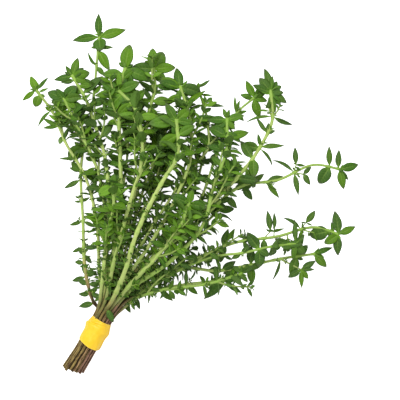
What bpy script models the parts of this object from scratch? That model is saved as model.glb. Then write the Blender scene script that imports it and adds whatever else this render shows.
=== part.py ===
"""A bunch of fresh thyme held by a yellow tie, lying on a flat surface.

The bunch runs along +Y, from its cut ends at -Y through the tie to the fanned tips. +X is its right
side and +Z is up. The origin is the middle of the flat on which the tie rests. Lengths below are in
millimetres, and each mesh is turned into metres when it is finished.
"""

import bisect
import math
from typing import NamedTuple

import bmesh
import bpy
import numpy as np
from mathutils import Matrix, Vector
from mathutils.bvhtree import BVHTree
from mathutils.kdtree import KDTree

METRES_PER_MM = 0.001

# The tie: a band of soft tape wound tight round the stems, pressed flat where it rests.
TIE_LENGTH = 13.5
TIE_OUTER_RADIUS = 6.3
TIE_BORE_RADIUS = 5.55
TIE_AXIS_HEIGHT = 6.05
TIE_SIDES = 36

# The stems: square in section, close-packed inside the tie.
STEM_PITCH = 1.8
STEM_TOLERANCE = 0.12
STEM_HALF_SIDE = 0.56
STEM_TIP_HALF_SIDE = 0.3
STRAIGHT_PAST_TIE = 1.8
CUT_LENGTH = 15.6
CUT_SLANT = 0.25
CUT_UNEVENNESS = 0.9
CUT_SPREAD = 1.1
CUT_LEAN = -0.6
CLEARANCE = 0.3

# The leaves: opposite pairs, each pair at right angles to the next.
NODE_LENGTH = 1.6
NODES_FROM_TIP = (3.0, 11.0, 21.0, 33.0, 47.0, 62.0, 78.0, 95.0, 112.0)
LEAF_HALF_THICKNESS = 0.2
LEAF_TIP_HALF_WIDTH = 0.3
LEAF_WIDTH_RATIO = 0.4
LEAF_WIDEST_SHARE = 0.48
LEAF_STALK = 0.35
LEAF_DROOP = 0.06
LEAF_FLATTENING = 0.75
LEAF_LEANS = (42, 25, 58)
LEAF_TURNS = (0, 25, -25, 50, -50, 75, -75)
LEAF_SIZES = (1.0, 0.75, 0.55)
LARGEST_LEAF = 1.1
LEAF_SHRINKAGE = 0.0045
YOUNG_STRETCH = 5.0
YOUNG_LEAF = 0.75
BUD_LEAF = 0.6
BUD_TURNS = (0, 25, -25, 50, -50)
BUD_SIZES = (1.0, 0.6, 0.3)
MOST_BLADE_ROLL = math.radians(50)
BLADE_ROLL_SHARE = 0.7
STEEPEST_LEVEL = 0.3

# How the stem courses are drawn and pushed apart.
COURSE_STEP = 2.0
FINE_STEP = 0.25
PUSH_ROUNDS = 240
ROUNDS_PER_SEARCH = 10
PUSH_GAIN = 1.5
PAIR_REACH = 3.5
LEAST_ROOM, MORE_ROOM = 0.4, 1.3
ROOM_START, ROOM_STRETCH = 10.0, 25.0
FREE_START, FREE_STRETCH = 1.0, 12.0
FLOOR_GAP = 0.1
GOLDEN_ANGLE = math.radians(137.5)


class Sprig(NamedTuple):
    """One stem with its leaves. The course holds points (x, y, height) past the tie, up to the tip."""

    course: tuple
    bare: float = 26.0
    leaf: float = 9.0


SPRIGS = (
    # The left edge of the fan
    Sprig(course=((-9, 13, 5), (-16, 20, 5), (-33, 46, 4), (-48, 72, 5), (-54, 92, 6), (-70, 131, 9))),
    Sprig(course=((-15, 31, 8), (-26, 49, 10), (-42, 66, 10), (-59, 76, 8), (-72, 86, 7), (-85, 92, 8))),
    Sprig(course=((-13, 34, 12), (-28, 66, 16), (-39, 81, 15), (-50, 91, 13), (-59, 99, 12), (-72, 107, 12))),
    Sprig(course=((-6, 22, 14), (-15, 40, 14), (-26, 58, 13), (-37, 71, 12), (-54, 84, 13), (-70, 95, 13))),
    # Left of the middle
    Sprig(course=((-5, 15, 12), (-12, 33, 18), (-18, 49, 22), (-22, 62, 23), (-27, 69, 22)), bare=34, leaf=8),
    Sprig(course=((-9, 35, 16), (-20, 65, 21), (-31, 84, 20), (-39, 97, 18), (-48, 115, 16), (-50, 123, 15))),
    Sprig(course=((-9, 39, 19), (-16, 70, 26), (-19, 84, 26), (-26, 97, 24), (-37, 108, 21), (-47, 111, 19))),
    Sprig(course=((-5, 30, 10), (-13, 60, 13), (-21, 87, 14), (-29, 108, 14), (-33, 122, 13), (-38, 130, 13))),
    Sprig(course=((-8, 28, 4), (-18, 55, 3), (-27, 80, 3), (-40, 108, 3)), bare=18),
    Sprig(course=((-2, 20, 7), (-8, 50, 8), (-14, 78, 8), (-16, 100, 8)), bare=18, leaf=8),
    # The middle
    Sprig(course=((0, 19, 17), (-1, 34, 24), (-5, 56, 31), (-6, 81, 33), (-6, 97, 30), (-15, 112, 26)), bare=34),
    Sprig(course=((0, 23, 14), (3, 53, 18), (3, 80, 21), (0, 99, 20), (-9, 115, 18), (-22, 128, 16))),
    Sprig(course=((-1, 38, 10), (0, 67, 12), (3, 97, 14), (5, 107, 14), (0, 117, 14), (-14, 132, 13))),
    Sprig(course=((-3, 25, 3), (-6, 60, 2.5), (-12, 90, 2.5), (-20, 110, 3)), bare=16),
    Sprig(course=((2, 25, 2.5), (6, 60, 2.5), (8, 90, 2.5), (2, 112, 3)), bare=16),
    # Right of the middle
    Sprig(course=((5, 27, 15), (16, 51, 22), (21, 72, 26), (16, 95, 26), (14, 109, 24), (6, 125, 20)), bare=30),
    Sprig(course=((5, 36, 13), (12, 65, 18), (21, 89, 20), (27, 119, 19), (26, 135, 17), (18, 148, 15))),
    Sprig(course=((5, 47, 9), (14, 78, 9), (10, 110, 9), (9, 131, 9), (13, 142, 9))),
    Sprig(course=((4, 30, 20), (9, 50, 27), (12, 66, 29), (10, 80, 28)), bare=24, leaf=8),
    Sprig(course=((6, 30, 6), (14, 60, 6), (20, 85, 6), (22, 105, 6)), bare=20, leaf=8),
    Sprig(course=((8, 28, 2.5), (17, 55, 2.5), (22, 74, 2.5), (25, 86, 3)), bare=16),
    # The right edge of the fan
    Sprig(course=((9, 41, 8), (19, 74, 8), (29, 100, 9), (43, 111, 9), (56, 127, 9), (68, 131, 9))),
    Sprig(course=((15, 40, 7), (28, 59, 10), (39, 73, 12), (56, 86, 12), (72, 100, 11), (83, 102, 11))),
    Sprig(course=((11, 37, 4.5), (24, 50, 5), (38, 56, 5), (53, 68, 5), (66, 79, 5), (78, 88, 5))),
    Sprig(course=((16, 38, 11), (34, 63, 16), (45, 71, 17), (54, 79, 16), (66, 88, 15)), leaf=10),
    Sprig(course=((8, 22, 10), (22, 38, 15), (36, 48, 15), (50, 62, 14)), bare=16, leaf=8),
    Sprig(course=((6, 22, 3), (19, 35, 2.5), (33, 46, 2.5), (45, 54, 3)), bare=12, leaf=8),
)


class Section(NamedTuple):
    """A cut across a stem or a leaf: its middle, its two directions and half its size along each."""

    middle: Vector
    across: Vector
    through: Vector
    half_width: float
    half_depth: float

    def corners(self, grown=0.0):
        """The four corners in order round the section, moved outwards by the given amount."""
        width = self.across * (self.half_width + grown)
        depth = self.through * (self.half_depth + grown)
        return [
            self.middle + width + depth,
            self.middle - width + depth,
            self.middle - width - depth,
            self.middle + width - depth,
        ]

    def above_floor(self):
        """The same section, lifted so that no corner is below the surface."""
        lowest = min(corner.z for corner in self.corners())
        return self._replace(middle=self.middle + Vector((0, 0, max(0.0, -lowest))))


class Obstacle(NamedTuple):
    """A leaf or a stretch of stem that is already placed. A leaf has no stretch of its own."""

    owner: int
    stretch: tuple
    tree: BVHTree
    middle: Vector
    reach: float


def empty_scene():
    for obj in list(bpy.data.objects):
        bpy.data.objects.remove(obj, do_unlink=True)


def principled(name, color, roughness):
    material = bpy.data.materials.new(name)
    material.use_nodes = True
    shader = material.node_tree.nodes["Principled BSDF"]
    shader.inputs["Base Color"].default_value = (*color, 1.0)
    shader.inputs["Roughness"].default_value = roughness
    shader.inputs["Metallic"].default_value = 0.0
    return material


def add_object(name, bm, material):
    """Turns a finished mesh in millimetres into an object in metres."""
    bmesh.ops.scale(bm, vec=(METRES_PER_MM,) * 3, verts=bm.verts)
    mesh = bpy.data.meshes.new(name)
    bm.to_mesh(mesh)
    bm.free()
    mesh.materials.append(material)
    mesh.shade_smooth()
    mesh.set_sharp_from_angle(angle=math.radians(40))
    obj = bpy.data.objects.new(name, mesh)
    bpy.context.scene.collection.objects.link(obj)
    return obj


# Courses of the stems


def stem_places():
    """Centres of the stems inside the tie, as (x, height): the innermost points of a triangular grid."""
    row_height = STEM_PITCH * math.sqrt(3) / 2
    places = []
    for row in range(-4, 5):
        for column in range(-6, 7):
            x = (column + row / 2 + 0.5) * STEM_PITCH
            z = (row + 1 / 3) * row_height
            places.append((x, z, row))
    places.sort(key=lambda place: round(math.hypot(place[0], place[1]), 4))
    return places[: len(SPRIGS)]


def assign_places():
    """Gives each sprig a place in the tie: low courses take low rows, and each row runs left to right."""
    places = sorted(stem_places(), key=lambda place: (place[2], place[0]))
    by_rise = sorted(range(len(SPRIGS)), key=lambda index: SPRIGS[index].course[1][2])
    assigned = {}
    start = 0
    for row in sorted({place[2] for place in places}):
        in_row = [place for place in places if place[2] == row]
        members = by_rise[start : start + len(in_row)]
        members.sort(key=lambda index: math.atan2(SPRIGS[index].course[1][0], SPRIGS[index].course[1][1]))
        for index, place in zip(members, in_row):
            assigned[index] = (place[0], place[1] + TIE_AXIS_HEIGHT)
        start += len(in_row)
    return assigned


def cut_end(index, x):
    """Where the stem is cut, on the Y axis. The bunch is cut at a slant, and unevenly."""
    uneven = CUT_UNEVENNESS * math.sin(index * GOLDEN_ANGLE)
    return -(TIE_LENGTH / 2 + CUT_LENGTH + uneven) + CUT_SLANT * x


def smooth_course(points):
    """A smooth curve through the points, sampled at equal steps along its length."""
    points = np.array(points, float)
    knots = np.concatenate([[0.0], np.cumsum(np.linalg.norm(np.diff(points, axis=0), axis=1))])
    slopes = np.gradient(points, knots, axis=0)
    fine = np.linspace(0.0, knots[-1], int(knots[-1] / FINE_STEP))
    span = np.clip(np.searchsorted(knots, fine, side="right") - 1, 0, len(knots) - 2)
    width = knots[span + 1] - knots[span]
    t = ((fine - knots[span]) / width)[:, None]
    width = width[:, None]
    curve = (
        points[span] * (1 + 2 * t) * (1 - t) ** 2
        + slopes[span] * width * t * (1 - t) ** 2
        + points[span + 1] * t**2 * (3 - 2 * t)
        + slopes[span + 1] * width * t**2 * (t - 1)
    )
    return resample(curve, COURSE_STEP)


def resample(curve, step):
    """Points at equal steps along a polyline."""
    lengths = np.concatenate([[0.0], np.cumsum(np.linalg.norm(np.diff(curve, axis=0), axis=1))])
    count = max(3, round(lengths[-1] / step) + 1)
    wanted = np.linspace(0.0, lengths[-1], count)
    return np.stack([np.interp(wanted, lengths, curve[:, axis]) for axis in range(3)], axis=1)


def stem_half_side(share):
    """Half the side of the square stem, at a share of its length from cut end to tip."""
    return STEM_HALF_SIDE + (STEM_TIP_HALF_SIDE - STEM_HALF_SIDE) * share


def near_pairs(points, owner):
    """Pairs of points on different stems that are near enough to meet in the next few rounds."""
    tree = KDTree(len(points))
    for index, point in enumerate(points):
        tree.insert(point, index)
    tree.balance()
    first, second = [], []
    for index, point in enumerate(points):
        for _, other, _ in tree.find_range(point, PAIR_REACH):
            if other > index and owner[other] != owner[index]:
                first.append(index)
                second.append(other)
    return np.array(first), np.array(second)


def push_apart(courses):
    """Moves the courses off each other, outside the tie, until the stems have clearance."""
    owner = np.concatenate([np.full(len(course), index) for index, course in enumerate(courses)])
    points = np.concatenate(courses)
    share = np.concatenate([np.linspace(0.0, 1.0, len(course)) for course in courses])
    radius = math.sqrt(2) * stem_half_side(share)
    # Stems that cross at an angle pass closer than their sampled points do, so they get more room.
    crossing = np.clip((points[:, 1] - ROOM_START) / ROOM_STRETCH, 0.0, 1.0)
    room = CLEARANCE * (LEAST_ROOM + MORE_ROOM * crossing)
    free = np.clip((points[:, 1] - TIE_LENGTH / 2 - FREE_START) / FREE_STRETCH, 0.0, 1.0)[:, None]
    starts = np.cumsum([0] + [len(course) for course in courses])
    for turn in range(PUSH_ROUNDS):
        if turn % ROUNDS_PER_SEARCH == 0:
            first, second = near_pairs(points, owner)
        offset = points[first] - points[second]
        distance = np.linalg.norm(offset, axis=1) + 1e-9
        needed = radius[first] + radius[second] + room[first] + room[second]
        push = offset * (np.clip(needed - distance, 0.0, None) / distance)[:, None] / 2
        move = np.zeros_like(points)
        np.add.at(move, first, push)
        np.add.at(move, second, -push)
        for begin, end in zip(starts[:-1], starts[1:]):
            part = move[begin:end]
            for _ in range(2):
                part[1:-1] = (part[:-2] + 2 * part[1:-1] + part[2:]) / 4
        points += PUSH_GAIN * move * free
        points[:, 2] = np.maximum(points[:, 2], radius + FLOOR_GAP)
    return [points[begin:end] for begin, end in zip(starts[:-1], starts[1:])]


def stem_courses():
    """The centreline of every stem, from its cut end to its tip."""
    places = assign_places()
    courses = []
    for index, sprig in enumerate(SPRIGS):
        x, z = places[index]
        end = TIE_LENGTH / 2 + STRAIGHT_PAST_TIE
        foot = [(x * CUT_SPREAD + CUT_LEAN, cut_end(index, x), z)]
        foot += [(x, y, z) for y in (-end, -TIE_LENGTH / 2, TIE_LENGTH / 2, end)]
        courses.append(smooth_course(foot + list(sprig.course)))
    return push_apart(courses)


class Course:
    """A centreline with a frame that doesn't twist, read at any distance along it."""

    def __init__(self, points, roll):
        self.points = [Vector(point) for point in points]
        steps = [(b - a).length for a, b in zip(self.points, self.points[1:])]
        self.stations = [0.0]
        for step in steps:
            self.stations.append(self.stations[-1] + step)
        self.length = self.stations[-1]
        self.across = []
        direction = (self.points[1] - self.points[0]).normalized()
        side = direction.cross(Vector((0, 0, 1))).normalized()
        side.rotate(Matrix.Rotation(roll, 3, direction))
        for index in range(len(self.points)):
            direction = self.direction_at_point(index)
            side = (side - direction * side.dot(direction)).normalized()
            self.across.append(side.copy())

    def direction_at_point(self, index):
        before = self.points[max(0, index - 1)]
        after = self.points[min(len(self.points) - 1, index + 1)]
        return (after - before).normalized()

    def at(self, station):
        """The stretch that holds a station, and the share of it that the station has passed."""
        station = min(max(station, 0.0), self.length)
        index = min(bisect.bisect_right(self.stations, station), len(self.stations) - 1) - 1
        return index, (station - self.stations[index]) / (self.stations[index + 1] - self.stations[index])

    def point(self, station):
        index, share = self.at(station)
        return self.points[index].lerp(self.points[index + 1], share)

    def farthest_from_chord(self, first, second):
        """The station between two others that is farthest from a straight line, or None if all are near."""
        start, end = self.point(first), self.point(second)
        chord = (end - start).normalized()
        farthest, station = STEM_TOLERANCE, None
        for between, point in zip(self.stations, self.points):
            if not first + 0.5 < between < second - 0.5:
                continue
            offset = point - start
            distance = (offset - chord * offset.dot(chord)).length
            if distance > farthest:
                farthest, station = distance, between
        return station

    def section(self, station, half_side):
        """The square section of the stem at a station."""
        index, share = self.at(station)
        middle = self.points[index].lerp(self.points[index + 1], share)
        tangent = self.direction_at_point(index).lerp(self.direction_at_point(index + 1), share).normalized()
        across = self.across[index].lerp(self.across[index + 1], share)
        across = (across - tangent * across.dot(tangent)).normalized()
        return Section(middle, across, tangent.cross(across), half_side, half_side)


# Growing the mesh


def grow(bm, end, old, new):
    """Extrudes the end face from one section to the next. Returns the new end and its four sides."""
    end = bmesh.ops.extrude_discrete_faces(bm, faces=[end])["faces"][0]
    for corner in end.verts:
        offset = corner.co - old.middle
        width = math.copysign(new.half_width, offset.dot(old.across))
        depth = math.copysign(new.half_depth, offset.dot(old.through))
        corner.co = new.middle + new.across * width + new.through * depth
    sides = [face for edge in end.edges for face in edge.link_faces if face is not end]
    return end, sides


def start_stem(bm, first, second):
    """Makes the first stretch of stem, closed at its cut end. Returns its other end."""
    block = bmesh.ops.create_cube(bm, size=2.0)["verts"]
    ends = [face for face in block[0].link_faces] + [face for face in block[-1].link_faces]
    end = max(ends, key=lambda face: face.calc_center_median().z)
    for corner in block:
        section = second if corner.co.z > 0 else first
        width = section.across * math.copysign(section.half_width, corner.co.x)
        depth = section.through * math.copysign(section.half_depth, corner.co.y)
        corner.co = section.middle + width + depth
    return end


def tube_tree(sections, grown=0.0):
    """The outside of a run of sections, for overlap tests."""
    corners = []
    faces = []
    for section in sections:
        corners += section.corners(grown)
    last = len(sections) - 1
    for row in range(last):
        for side in range(4):
            a = 4 * row + side
            b = 4 * row + (side + 1) % 4
            faces.append((a, b, b + 4, a + 4))
    faces.append((0, 1, 2, 3))
    faces.append((4 * last, 4 * last + 1, 4 * last + 2, 4 * last + 3))
    return BVHTree.FromPolygons(corners, faces), corners


def obstacle(owner, sections, stretch=None):
    tree, corners = tube_tree(sections)
    middle = sum(corners, Vector()) / len(corners)
    reach = max((corner - middle).length for corner in corners)
    return Obstacle(owner, stretch, tree, middle, reach)


def is_clear(sections, owner, station, obstacles):
    """Whether a leaf has clearance from everything except the stretch of stem that it grows from."""
    tree, corners = tube_tree(sections, CLEARANCE)
    middle = sum(corners, Vector()) / len(corners)
    reach = max((corner - middle).length for corner in corners)
    for other in obstacles:
        if (other.middle - middle).length > reach + other.reach:
            continue
        if other.owner == owner and other.stretch:
            start, stop = other.stretch
            if start - NODE_LENGTH < station < stop + NODE_LENGTH:
                continue
        if tree.overlap(other.tree):
            return False
    return True


def blade_roll(direction, through):
    """How far to turn a leaf on its own length, so that its blade lies flatter."""
    level = Vector((0, 0, math.copysign(1.0, through.z)))
    level = level - direction * level.dot(direction)
    if level.length < STEEPEST_LEVEL:
        return 0.0
    angle = through.angle(level)
    side = direction.dot(through.cross(level))
    return math.copysign(min(BLADE_ROLL_SHARE * angle, MOST_BLADE_ROLL), side)


def leaf_sections(base, outward, direction, length):
    """Sections of a leaf: its base on the stem, its widest place and its tip."""
    across = (base.across - direction * base.across.dot(direction)).normalized()
    through = direction.cross(across)
    roll = blade_roll(direction, through)
    half_width = LEAF_WIDTH_RATIO * length / 2
    sections = [base]
    for share, width in ((LEAF_WIDEST_SHARE, half_width), (1.0, LEAF_TIP_HALF_WIDTH)):
        droop = Vector((0, 0, -LEAF_DROOP * length * share * share))
        middle = base.middle + outward * LEAF_STALK + direction * (length * share) + droop
        turn = Matrix.Rotation(roll * share, 3, direction)
        section = Section(middle, turn @ across, turn @ through, width, LEAF_HALF_THICKNESS)
        sections.append(section.above_floor())
    return sections


def leaf_directions(outward, forward):
    """Directions for a leaf, the natural one first: how far it leans to the tip, and a turn round the stem."""
    for turn in LEAF_TURNS:
        turned = outward.copy()
        turned.rotate(Matrix.Rotation(math.radians(turn), 3, forward))
        for lean in LEAF_LEANS:
            angle = math.radians(lean)
            direction = turned * math.cos(angle) + forward * math.sin(angle)
            direction.z *= LEAF_FLATTENING
            yield direction.normalized()


def grow_leaf(bm, face, forward, length, owner, station, obstacles):
    """Grows a leaf out of one side face of a stem, in the first direction where it has room."""
    face.normal_update()
    outward = face.normal.copy()
    through = (forward - outward * forward.dot(outward)).normalized()
    across = through.cross(outward)
    base = Section(face.calc_center_median(), across, through, STEM_TIP_HALF_SIDE, NODE_LENGTH / 3)
    for share in LEAF_SIZES:
        for direction in leaf_directions(outward, forward):
            sections = leaf_sections(base, outward, direction, share * length)
            if not is_clear(sections, owner, station, obstacles):
                continue
            for old, new in zip(sections, sections[1:]):
                face, _ = grow(bm, face, old, new)
            obstacles.append(obstacle(owner, sections))
            return


def node_stations(length, bare):
    """Stations of the leaf pairs, closer together towards the tip."""
    return sorted(length - back for back in NODES_FROM_TIP if length - back > bare)


def ring_stations(course, nodes):
    """Stations of the sections: two at each pair of leaves, and more wherever the stem bends."""
    rings = [0.0, course.length]
    rings += [node + side * NODE_LENGTH / 2 for node in nodes for side in (-1, 1)]
    rings.sort()
    place = 0
    while place + 1 < len(rings):
        first, second = rings[place], rings[place + 1]
        bend = course.farthest_from_chord(first, second)
        if bend is None:
            place += 1
        else:
            rings.insert(place + 1, bend)
    return rings


class Stem:
    """One sprig: the plan of its sections, and the mesh that is grown from it."""

    def __init__(self, index, sprig, points):
        self.index = index
        self.sprig = sprig
        self.course = Course(points, roll=index * GOLDEN_ANGLE)
        bare = CUT_LENGTH + TIE_LENGTH + sprig.bare
        self.nodes = node_stations(self.course.length, bare)
        self.stations = ring_stations(self.course, self.nodes)
        self.sections = []
        for station in self.stations:
            half_side = stem_half_side(station / self.course.length)
            self.sections.append(self.course.section(station, half_side).above_floor())

    def obstacles(self):
        stretches = zip(self.stations, self.stations[1:])
        for first, second, stretch in zip(self.sections, self.sections[1:], stretches):
            yield obstacle(self.index, [first, second], stretch)

    def leaf_length(self, station):
        """Leaves are largest a little below the tip and small at the foot and in the bud."""
        back = self.course.length - station
        share = YOUNG_LEAF if back < YOUNG_STRETCH else LARGEST_LEAF - LEAF_SHRINKAGE * back
        return self.sprig.leaf * share

    def grow_mesh(self, obstacles):
        bm = bmesh.new()
        end = start_stem(bm, self.sections[0], self.sections[1])
        rooms = []
        for place in range(2, len(self.sections)):
            old, new = self.sections[place - 1], self.sections[place]
            end, sides = grow(bm, end, old, new)
            middle = (self.stations[place - 1] + self.stations[place]) / 2
            node = [k for k, station in enumerate(self.nodes) if abs(station - middle) < 0.01]
            if node:
                rooms.append((node[0], middle, sides, (new.middle - old.middle).normalized(), new))
        self.grow_bud(bm, end, obstacles)
        for order, station, sides, forward, section in reversed(rooms):
            wanted = section.across if order % 2 else section.through
            sides.sort(key=lambda face: (face.calc_center_median() - section.middle).dot(wanted))
            for face in (sides[0], sides[-1]):
                grow_leaf(bm, face, forward, self.leaf_length(station), self.index, station, obstacles)
        return bm

    def bud_sections(self, turn, length):
        """Sections of the youngest leaf, which carries the stem on, turned a little to one side."""
        last = self.sections[-1]
        forward = last.across.cross(last.through)
        forward.rotate(Matrix.Rotation(math.radians(turn), 3, "Z"))
        across = (last.across - forward * last.across.dot(forward)).normalized()
        through = forward.cross(across)
        half_width = LEAF_WIDTH_RATIO * length / 2
        widest = last.middle + forward * length / 2
        middle = Section(widest, across, through, half_width, LEAF_HALF_THICKNESS)
        end = last.middle + forward * length
        tip = Section(end, across, through, LEAF_TIP_HALF_WIDTH, LEAF_HALF_THICKNESS)
        return [last, middle.above_floor(), tip.above_floor()]

    def grow_bud(self, bm, end, obstacles):
        """Ends the stem in its youngest leaf, in the first direction where that has room."""
        full = BUD_LEAF * self.sprig.leaf
        choices = [(turn, share * full) for share in BUD_SIZES for turn in BUD_TURNS]
        for turn, length in choices:
            sections = self.bud_sections(turn, length)
            if is_clear(sections, self.index, self.course.length, obstacles):
                break
        for old, new in zip(sections, sections[1:]):
            end, _ = grow(bm, end, old, new)
        obstacles.append(obstacle(self.index, sections[1:]))


def make_sprigs(material):
    stems = [Stem(index, SPRIGS[index], points) for index, points in enumerate(stem_courses())]
    obstacles = [piece for stem in stems for piece in stem.obstacles()]
    for stem in stems:
        bm = stem.grow_mesh(obstacles)
        bmesh.ops.recalc_face_normals(bm, faces=bm.faces)
        add_object(f"sprig_{stem.index + 1:02d}", bm, material)


def tie_outline(radius, floor):
    """Points round the tie, a circle cut level at the floor height, as (x, height)."""
    outline = []
    for side in range(TIE_SIDES):
        angle = 2 * math.pi * side / TIE_SIDES
        z = TIE_AXIS_HEIGHT + radius * math.sin(angle)
        outline.append((radius * math.cos(angle), max(z, floor)))
    return outline


def make_tie(material):
    """A band round the stems, open at both ends, with a flat where it rests."""
    bm = bmesh.new()
    loops = []
    for radius, floor in ((TIE_OUTER_RADIUS, 0.0), (TIE_BORE_RADIUS, TIE_AXIS_HEIGHT - TIE_BORE_RADIUS)):
        for y in (-TIE_LENGTH / 2, TIE_LENGTH / 2):
            corners = [bm.verts.new((x, y, z)) for x, z in tie_outline(radius, floor)]
            loops.append([bm.edges.new((a, b)) for a, b in zip(corners, corners[1:] + corners[:1])])
    outer_low, outer_high, bore_low, bore_high = loops
    around = (outer_low, outer_high, bore_high, bore_low, outer_low)
    for first, second in zip(around, around[1:]):
        bmesh.ops.bridge_loops(bm, edges=first + second)
    bmesh.ops.recalc_face_normals(bm, faces=bm.faces)
    add_object("tie_band", bm, material)


def main():
    empty_scene()
    make_sprigs(principled("thyme_green", (0.09, 0.2, 0.035), 0.55))
    make_tie(principled("yellow_tape", (0.9, 0.66, 0.03), 0.45))


main()
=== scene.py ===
"""The looks of a bunch of fresh thyme: fine stems, leaves and shoots, and a wrinkled yellow tie.

World axes: +Y runs from the cut ends to the tips, +X to the bunch's right side, +Z up. The origin is the
middle of the flat under the tie. Lengths in this file are in millimetres until a mesh is made.
"""

import bisect
import math
import random
from typing import NamedTuple

import bpy
import numpy as np
from bpy.props import FloatProperty, FloatVectorProperty, PointerProperty
from mathutils import Matrix, Vector
from mathutils.kdtree import KDTree


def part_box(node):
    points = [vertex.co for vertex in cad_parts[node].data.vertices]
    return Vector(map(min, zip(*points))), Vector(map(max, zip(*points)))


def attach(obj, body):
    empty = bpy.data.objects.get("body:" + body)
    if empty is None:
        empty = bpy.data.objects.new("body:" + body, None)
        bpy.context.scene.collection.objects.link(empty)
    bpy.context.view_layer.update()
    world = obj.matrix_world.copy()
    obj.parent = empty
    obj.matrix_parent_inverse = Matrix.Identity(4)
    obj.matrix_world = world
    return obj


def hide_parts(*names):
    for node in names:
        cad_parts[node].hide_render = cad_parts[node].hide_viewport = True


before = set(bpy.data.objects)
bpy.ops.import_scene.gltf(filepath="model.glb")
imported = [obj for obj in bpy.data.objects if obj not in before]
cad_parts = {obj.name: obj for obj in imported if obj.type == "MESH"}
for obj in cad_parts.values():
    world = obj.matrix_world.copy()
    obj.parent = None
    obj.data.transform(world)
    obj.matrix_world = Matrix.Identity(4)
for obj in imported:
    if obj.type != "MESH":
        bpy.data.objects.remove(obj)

bl_info = {
    "name": "Thyme Bundle",
    "version": (1, 0, 0),
    "blender": (4, 5, 0),
    "location": "3D View > Sidebar > Thyme",
    "description": "Builds the sprigs and the tie of a bunch of fresh thyme round its packed model",
    "category": "Object",
}

METRES_PER_MM = 0.001
GOLDEN_ANGLE = math.radians(137.5)
UP = Vector((0.0, 0.0, 1.0))

# The CAD box, before any piece is made
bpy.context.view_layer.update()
TIE_LOW, TIE_HIGH = (corner / METRES_PER_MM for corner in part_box("tie_band"))

# The tie, read from its CAD node
TIE_LENGTH = TIE_HIGH.y - TIE_LOW.y
TIE_OUTER_RADIUS = (TIE_HIGH.x - TIE_LOW.x) / 2
TIE_AXIS_HEIGHT = TIE_HIGH.z - TIE_OUTER_RADIUS

# The stems, as the CAD's
STEM_PITCH = 1.8
STEM_HALF_SIDE = 0.56
STEM_TIP_HALF_SIDE = 0.3
STRAIGHT_PAST_TIE = 1.8
CUT_LENGTH = 15.6
CUT_SLANT = 0.25
CUT_UNEVENNESS = 0.9
CUT_SPREAD = 1.1
CUT_LEAN = -0.6
CLEARANCE = 0.3
COURSE_STEP = 2.0
FINE_STEP = 0.25
PUSH_ROUNDS = 240
ROUNDS_PER_SEARCH = 10
PUSH_GAIN = 1.5
PAIR_REACH = 3.5
LEAST_ROOM, MORE_ROOM = 0.4, 1.3
ROOM_START, ROOM_STRETCH = 10.0, 25.0
FREE_START, FREE_STRETCH = 1.0, 12.0
FLOOR_GAP = 0.1


class Shoot(NamedTuple):
    """A side shoot listed for a sprig: how far it starts back from the tip, its bearing and its reach."""

    back: float
    bearing: float
    reach: float
    leaf: float
    leaves: tuple = ()


class Sprig(NamedTuple):
    """One stem with its leaves. The course holds points (x, y, height) past the tie, up to the tip.

    Listed leaves are (back from the tip, bearing in degrees from +Y towards +X, length, width),
    and a fifth value stands a leaf on its edge. Shade runs from 0, young and bright, to 1, old and dark.
    Woody is how far past the cut end the brown foot fades out, and bushy the chance of a long side shoot.
    Over the clear stretch past the tie there are only tiny leaves, and no long shoots.
    Crowded is how far back from the tip the pairs grow twice as close.
    Chosen is how far back from the tip every large leaf is listed.
    """

    course: tuple
    bare: float = 14.0
    leaf: float = 9.3
    shade: float = 0.6
    girth: float = 0.93
    woody: float = 50.0
    bushy: float = 0.35
    clear: float = 0.0
    crowded: float = 0.0
    chosen: float = 0.0
    leaves: tuple = ()
    shoots: tuple = ()


ON_EDGE = True

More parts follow.
